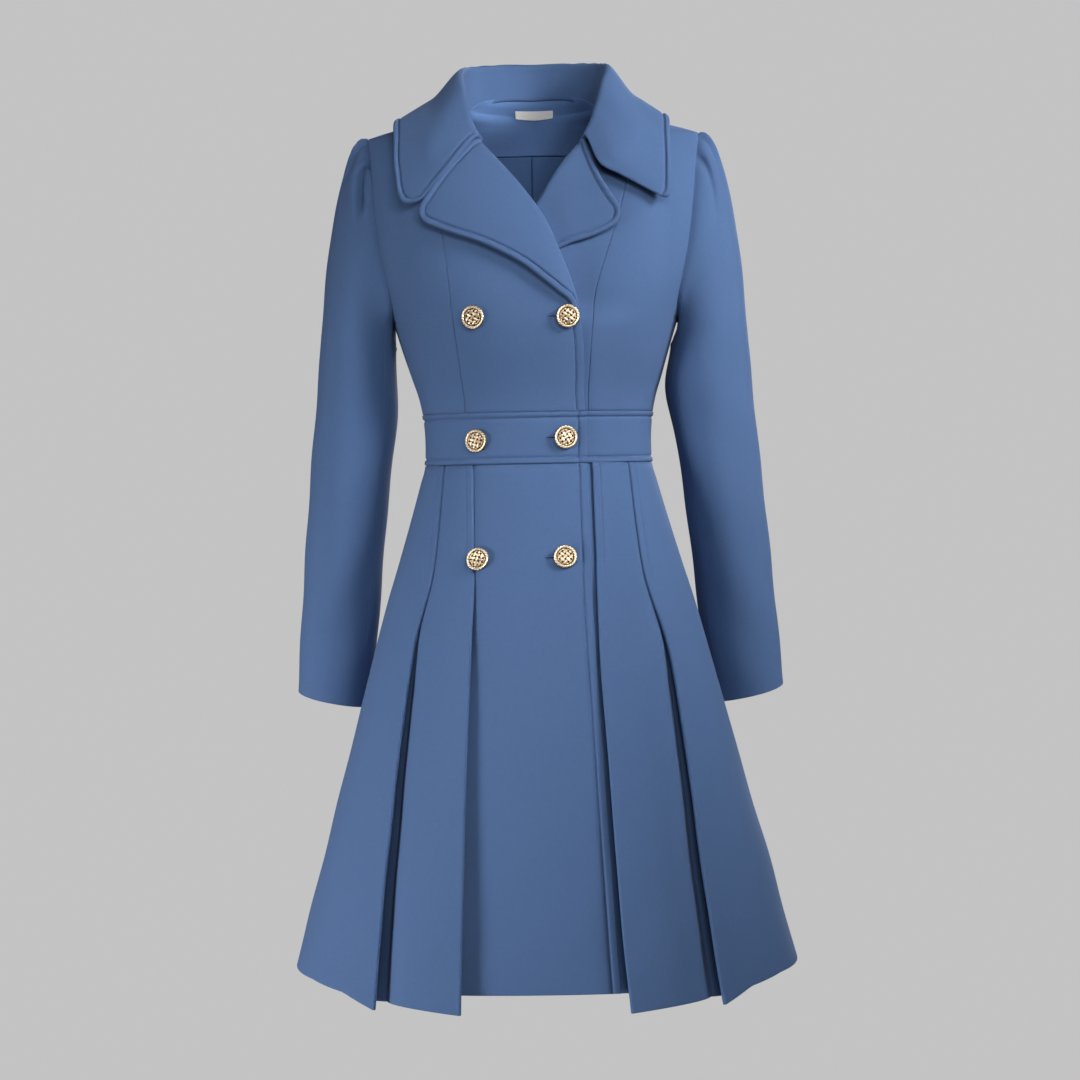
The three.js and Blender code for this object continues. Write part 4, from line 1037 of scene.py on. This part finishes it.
# Buttons and buttonholes
BUTTON_RADIUS, FACE_RADIUS, FACE_END, ROPE_RADIUS, ROPE_WIDTH = 12.5, 9.4, 9.1, 10.8, 1.7
SHANK, SHANK_RADIUS, BAR_PITCH, ROPE_TURNS = 1.6, 3.5, 4.2, 11
LATTICE_TURN = {"button_upper_outer": 0.8, "button_upper_inner": 0.55, "button_waist_outer": 0.65,
                "button_waist_inner": 0.9, "button_lower_outer": 0.5, "button_lower_inner": 0.7}
BUTTONS = [
    ("button_upper_outer", -63, -236), ("button_upper_inner", 36.5, -237),
    ("button_waist_outer", -63, -366), ("button_waist_inner", 31.7, -364),
    ("button_lower_outer", -62.5, -493), ("button_lower_inner", 29.2, -492)]


def depth_below(node, x, z):
    """How deep the cloth under a button lies: the skirt's front falls back a little from its edge."""
    if "lower" not in node:
        return 0.0
    edge = float(curve(OPENING_RIGHT, "x")(z))
    reach = edge + float(curve(FOLDS_RIGHT, "first")(z))
    return 2 * LAYER * ((edge - x) / reach) ** (reach / PRESSED)


def button(node, x, z):
    """A domed button: a twisted rope round its rim and a plaited lattice raised on its face."""
    depth = depth_below(node, x, z)
    shank, r = SHANK + depth, BUTTON_RADIUS
    around = np.linspace(0, 2 * np.pi, 144, endpoint=False)
    outward = np.concatenate([np.linspace(0, FACE_RADIUS, 40), np.linspace(FACE_RADIUS, r, 16)[1:]])
    radius, theta = np.meshgrid(outward, around)
    across = [radius * f(theta + LATTICE_TURN[node]) / BAR_PITCH + 0.5 for f in (np.cos, np.sin)]
    dome = 2.6 + 1.3 * (1 - (radius / FACE_RADIUS) ** 2).clip(0)
    over = (np.floor(across[0]) + np.floor(across[1])) % 2 == 0
    bars = [(1 - (w % 1 * 2 - 1) ** 2 * 2.1).clip(0) ** 0.5 for w in across]
    lattice = np.maximum(bars[0] * np.where(over, 1, 0.5), bars[1] * np.where(over, 0.5, 1))
    lattice = lattice * (1 - smooth(8.2, 9.0, radius))
    rope = np.clip(1 - ((radius - ROPE_RADIUS) / ROPE_WIDTH) ** 2, 0, None) ** 0.5
    twist = np.abs(np.sin(theta * ROPE_TURNS + (radius - ROPE_RADIUS) * 0.9)) ** 0.7
    on_rim = radius > FACE_END
    height = np.where(on_rim, 1.9 + rope * (1 + twist), dome - 0.9 + 1.7 * lattice) + shank
    # How far each point lies in a recess, which the gilt paints dark as shade: the hollows of the lattice and
    # the grooves between the rope's strands.
    sunk = np.where(on_rim, 1 - rope * (0.3 + 0.7 * twist), 1 - lattice)
    top = np.stack([radius * np.cos(theta), radius * np.sin(theta), height], -1)
    low = [(r, 1.2), (r - 0.3, 0.5), (r - 1.2, 0), (SHANK_RADIUS, 0), (SHANK_RADIUS, -shank), (0.01, -shank)]
    under = np.stack([np.stack([a * np.cos(around), a * np.sin(around), np.full_like(around, b + shank)], -1)
                      for a, b in low], 1)
    grid = np.concatenate([top[:, 1:], under], 1)
    rows, cols = grid.shape[:2]
    index = np.arange(rows * cols).reshape(rows, cols)
    closed = np.concatenate([index, index[:1]])
    centre, foot = rows * cols, rows * cols + 1
    caps = [(centre, a, b) for a, b in zip(closed[:-1, 0], closed[1:, 0])]
    caps += [(foot, b, a) for a, b in zip(closed[:-1, -1], closed[1:, -1])]
    points = np.concatenate([grid.reshape(-1, 3), [(0, 0, height[0, 0]), (0, 0, 0)]])
    normal = Vector(form_normal(front_angle(x, z), z))
    seat = on_form(front_angle(x, z), np.array(float(z)), depth) + np.array(normal) * SEAM
    turned = np.array(Vector((0, 0, 1)).rotation_difference(normal).to_matrix())
    points = points @ turned.T + seat
    mesh = bpy.data.meshes.new(node)
    mesh.from_pydata((points * MM).tolist(), [], quads(closed).tolist() + [tuple(map(int, c)) for c in caps])
    mesh.polygons.foreach_set("use_smooth", [True] * len(mesh.polygons))
    # The recess attribute carries the painted shade of the hollows to the gilt.
    shade = mesh.attributes.new("recess", "FLOAT", "POINT")
    recess = np.concatenate([sunk[:, 1:], np.zeros((rows, len(low)))], 1).ravel()
    shade.data.foreach_set("value", np.append(recess, [sunk[0, 0], 0]).astype(np.float32))
    mesh.materials.append(GILT)
    obj = bpy.data.objects.new(node + "_cast", mesh)
    bpy.context.scene.collection.objects.link(obj)
    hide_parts(node)
    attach(obj, "root")


HOLE_LENGTH, HOLE_GAP, HOLE_BESIDE, HOLE_STITCHES = 26.0, 1.1, 7.5, 64
SLIT_HEIGHT, SLIT_TOP, SLIT_FLOOR, SLIT_POINTS = 0.75, -0.12, 0.5, 24


def hole_edge(share):
    """A point on the edge of a slot with round ends, at a share of the way round, and the way out of it."""
    straight = HOLE_LENGTH - 2 * HOLE_GAP
    half_way = straight + np.pi * HOLE_GAP
    run = share * 2 * half_way
    way = 1
    if run >= half_way:
        run, way = run - half_way, -1
    if run < straight:
        return way * np.array([-straight / 2 + run, HOLE_GAP]), way * np.array([0.0, 1])
    a = (run - straight) / HOLE_GAP
    out = np.array([np.sin(a), np.cos(a)])
    return way * (np.array([straight / 2, 0]) + out * HOLE_GAP), way * out


def buttonhole(node, x, z):
    """The end of a worked buttonhole that shows beside a button: a slit with closely sewn edges, whose gap is
    a dark sheet of painted shade.
    """
    points, faces = [], []
    sides = 6
    for i in range(HOLE_STITCHES):
        centre, out = hole_edge(i / HOLE_STITCHES)
        side_way = np.array([-out[1], out[0]])
        base = len(points)
        for reach, rise in ((-0.5, -0.1), (0.5, 0.35), (1.7, -0.05)):
            for a in np.linspace(0, 2 * np.pi, sides, endpoint=False):
                q = centre + out * reach + side_way * 0.42 * np.cos(a)
                px, pz = x + q[0] - HOLE_BESIDE, z + q[1]
                depth = depth_below(node, px, pz) - rise - 0.35 * np.sin(a)
                points.append(on_form(front_angle(px, pz), np.array(float(pz)), depth))
        faces += tube_faces(base, 3, sides)
    sewing(node.replace("button", "buttonhole"), points, faces, THREAD)
    # The slit: a thin dark sheet of painted shade on the uncut cloth, where the gap's shadow would be.
    n = SLIT_POINTS
    around = np.linspace(0, 2 * np.pi, n, endpoint=False)
    px = x - HOLE_BESIDE + (HOLE_LENGTH / 2 - 0.4) * np.cos(around)
    pz = z + SLIT_HEIGHT * np.sin(around)
    depth = np.array([depth_below(node, a, b) for a, b in zip(px, pz)])
    slit = np.concatenate([on_form(front_angle(px, pz), pz, depth + d) for d in (SLIT_TOP, SLIT_FLOOR)])
    caps = [(i, n - 1 - i, n - 2 - i, i + 1) for i in range(n // 2 - 1)]
    caps += [tuple(n + v for v in c[::-1]) for c in caps]
    sewing(node.replace("button", "slit"), slit, tube_faces(0, 2, n) + caps, PAINTED_SLIT_SHADE)


for node, x, z in BUTTONS:
    button(node, x, z)
    if "inner" in node:
        buttonhole(node, x, z)


# Room, light and camera
FLOOR_Z, FLOOR_RADIUS, PAPER, AMBIENT = -1.45, 1.7, 0.546, 0.06


def floor_material():
    """Pale paper that fades into the background before its edge."""
    material, nodes, link, shader = new_material("floor")
    set_inputs(shader, Base_Color=(0.6, 0.6, 0.6, 1), Roughness=0.9)
    place, far = nodes.new("ShaderNodeTexCoord"), nodes.new("ShaderNodeVectorMath")
    fade = nodes.new("ShaderNodeMapRange")
    set_inputs(fade, From_Min=0.3, From_Max=FLOOR_RADIUS - 0.1, To_Min=1, To_Max=0)
    far.operation, fade.interpolation_type = "LENGTH", "SMOOTHSTEP"
    link(place, "Object", far, 0)
    link(far, "Value", fade, "Value")
    link(fade, "Result", shader, "Alpha")
    return material


def room():
    mesh = bpy.data.meshes.new("floor")
    around = np.linspace(0, 2 * math.pi, 64, endpoint=False)
    rim = [(FLOOR_RADIUS * math.cos(a), FLOOR_RADIUS * math.sin(a), 0) for a in around]
    mesh.from_pydata(rim, [], [range(len(rim))])
    mesh.materials.append(floor_material())
    floor = bpy.data.objects.new("floor", mesh)
    floor.location = (0, 0, FLOOR_Z)
    bpy.context.scene.collection.objects.link(floor)
    world = bpy.data.worlds.new("studio")
    bpy.context.scene.world = world
    nodes, link = node_tree(world)
    seen, path = nodes["Background"], nodes.new("ShaderNodeLightPath")
    set_inputs(seen, Color=(PAPER, PAPER, PAPER, 1))
    level = set_inputs(nodes.new("ShaderNodeMapRange"), To_Min=AMBIENT / PAPER, To_Max=1)
    link(path, "Is Camera Ray", level, "Value")
    link(level, "Result", seen, "Strength")


def area_light(name, place, aim, size, watts, spread=180):
    light = bpy.data.lights.new(name, "AREA")
    light.shape, light.size, light.energy, light.spread = "SQUARE", size, watts, math.radians(spread)
    obj = bpy.data.objects.new(name, light)
    obj.location = place
    obj.rotation_euler = (Vector(aim) - Vector(place)).to_track_quat("-Z", "Y").to_euler()
    bpy.context.scene.collection.objects.link(obj)


def camera():
    distance, width, height, sensor = 3.0, 1.188, -0.473, 36
    turn, roll = math.radians(1.5), math.radians(1.0)
    data = bpy.data.cameras.new("camera")
    data.sensor_fit, data.sensor_width = "HORIZONTAL", sensor
    data.lens = sensor * distance / width
    obj = bpy.data.objects.new("camera", data)
    place = Vector((distance * math.sin(turn), -distance * math.cos(turn), height))
    look = (Vector((0, 0, height)) - place).to_track_quat("-Z", "Y").to_matrix().to_4x4()
    obj.matrix_world = Matrix.Translation(place) @ look @ Matrix.Rotation(-roll, 4, "Z")
    bpy.context.scene.collection.objects.link(obj)
    bpy.context.scene.camera = obj


room()
area_light("front", (0.3, -3.0, 0.9), (0, 0, -0.4), 1.0, 30)
area_light("high", (1.3, -2.8, 0.8), (0.05, 0, -0.15), 0.8, 0.9, 26)
area_light("upper_right", (2.5, -1.3, 1.0), (0.1, 0, -0.1), 1.0, 7.2, 40)
area_light("lower_left", (-2.4, -1.5, -1.1), (-0.1, 0, -0.85), 1.0, 5.5, 40)
area_light("side_right", (2.4, -0.3, 0.5), (0.1, 0, -0.3), 1.2, 3)
area_light("side_left", (-2.4, -0.3, 0.0), (-0.1, 0, -0.5), 1.2, 3)
area_light("behind", (0.6, 3.0, 0.8), (0, 0, -0.4), 1.6, 110)
camera()
bpy.context.scene.view_settings.view_transform = "Standard"

bpy.context.view_layer.update()
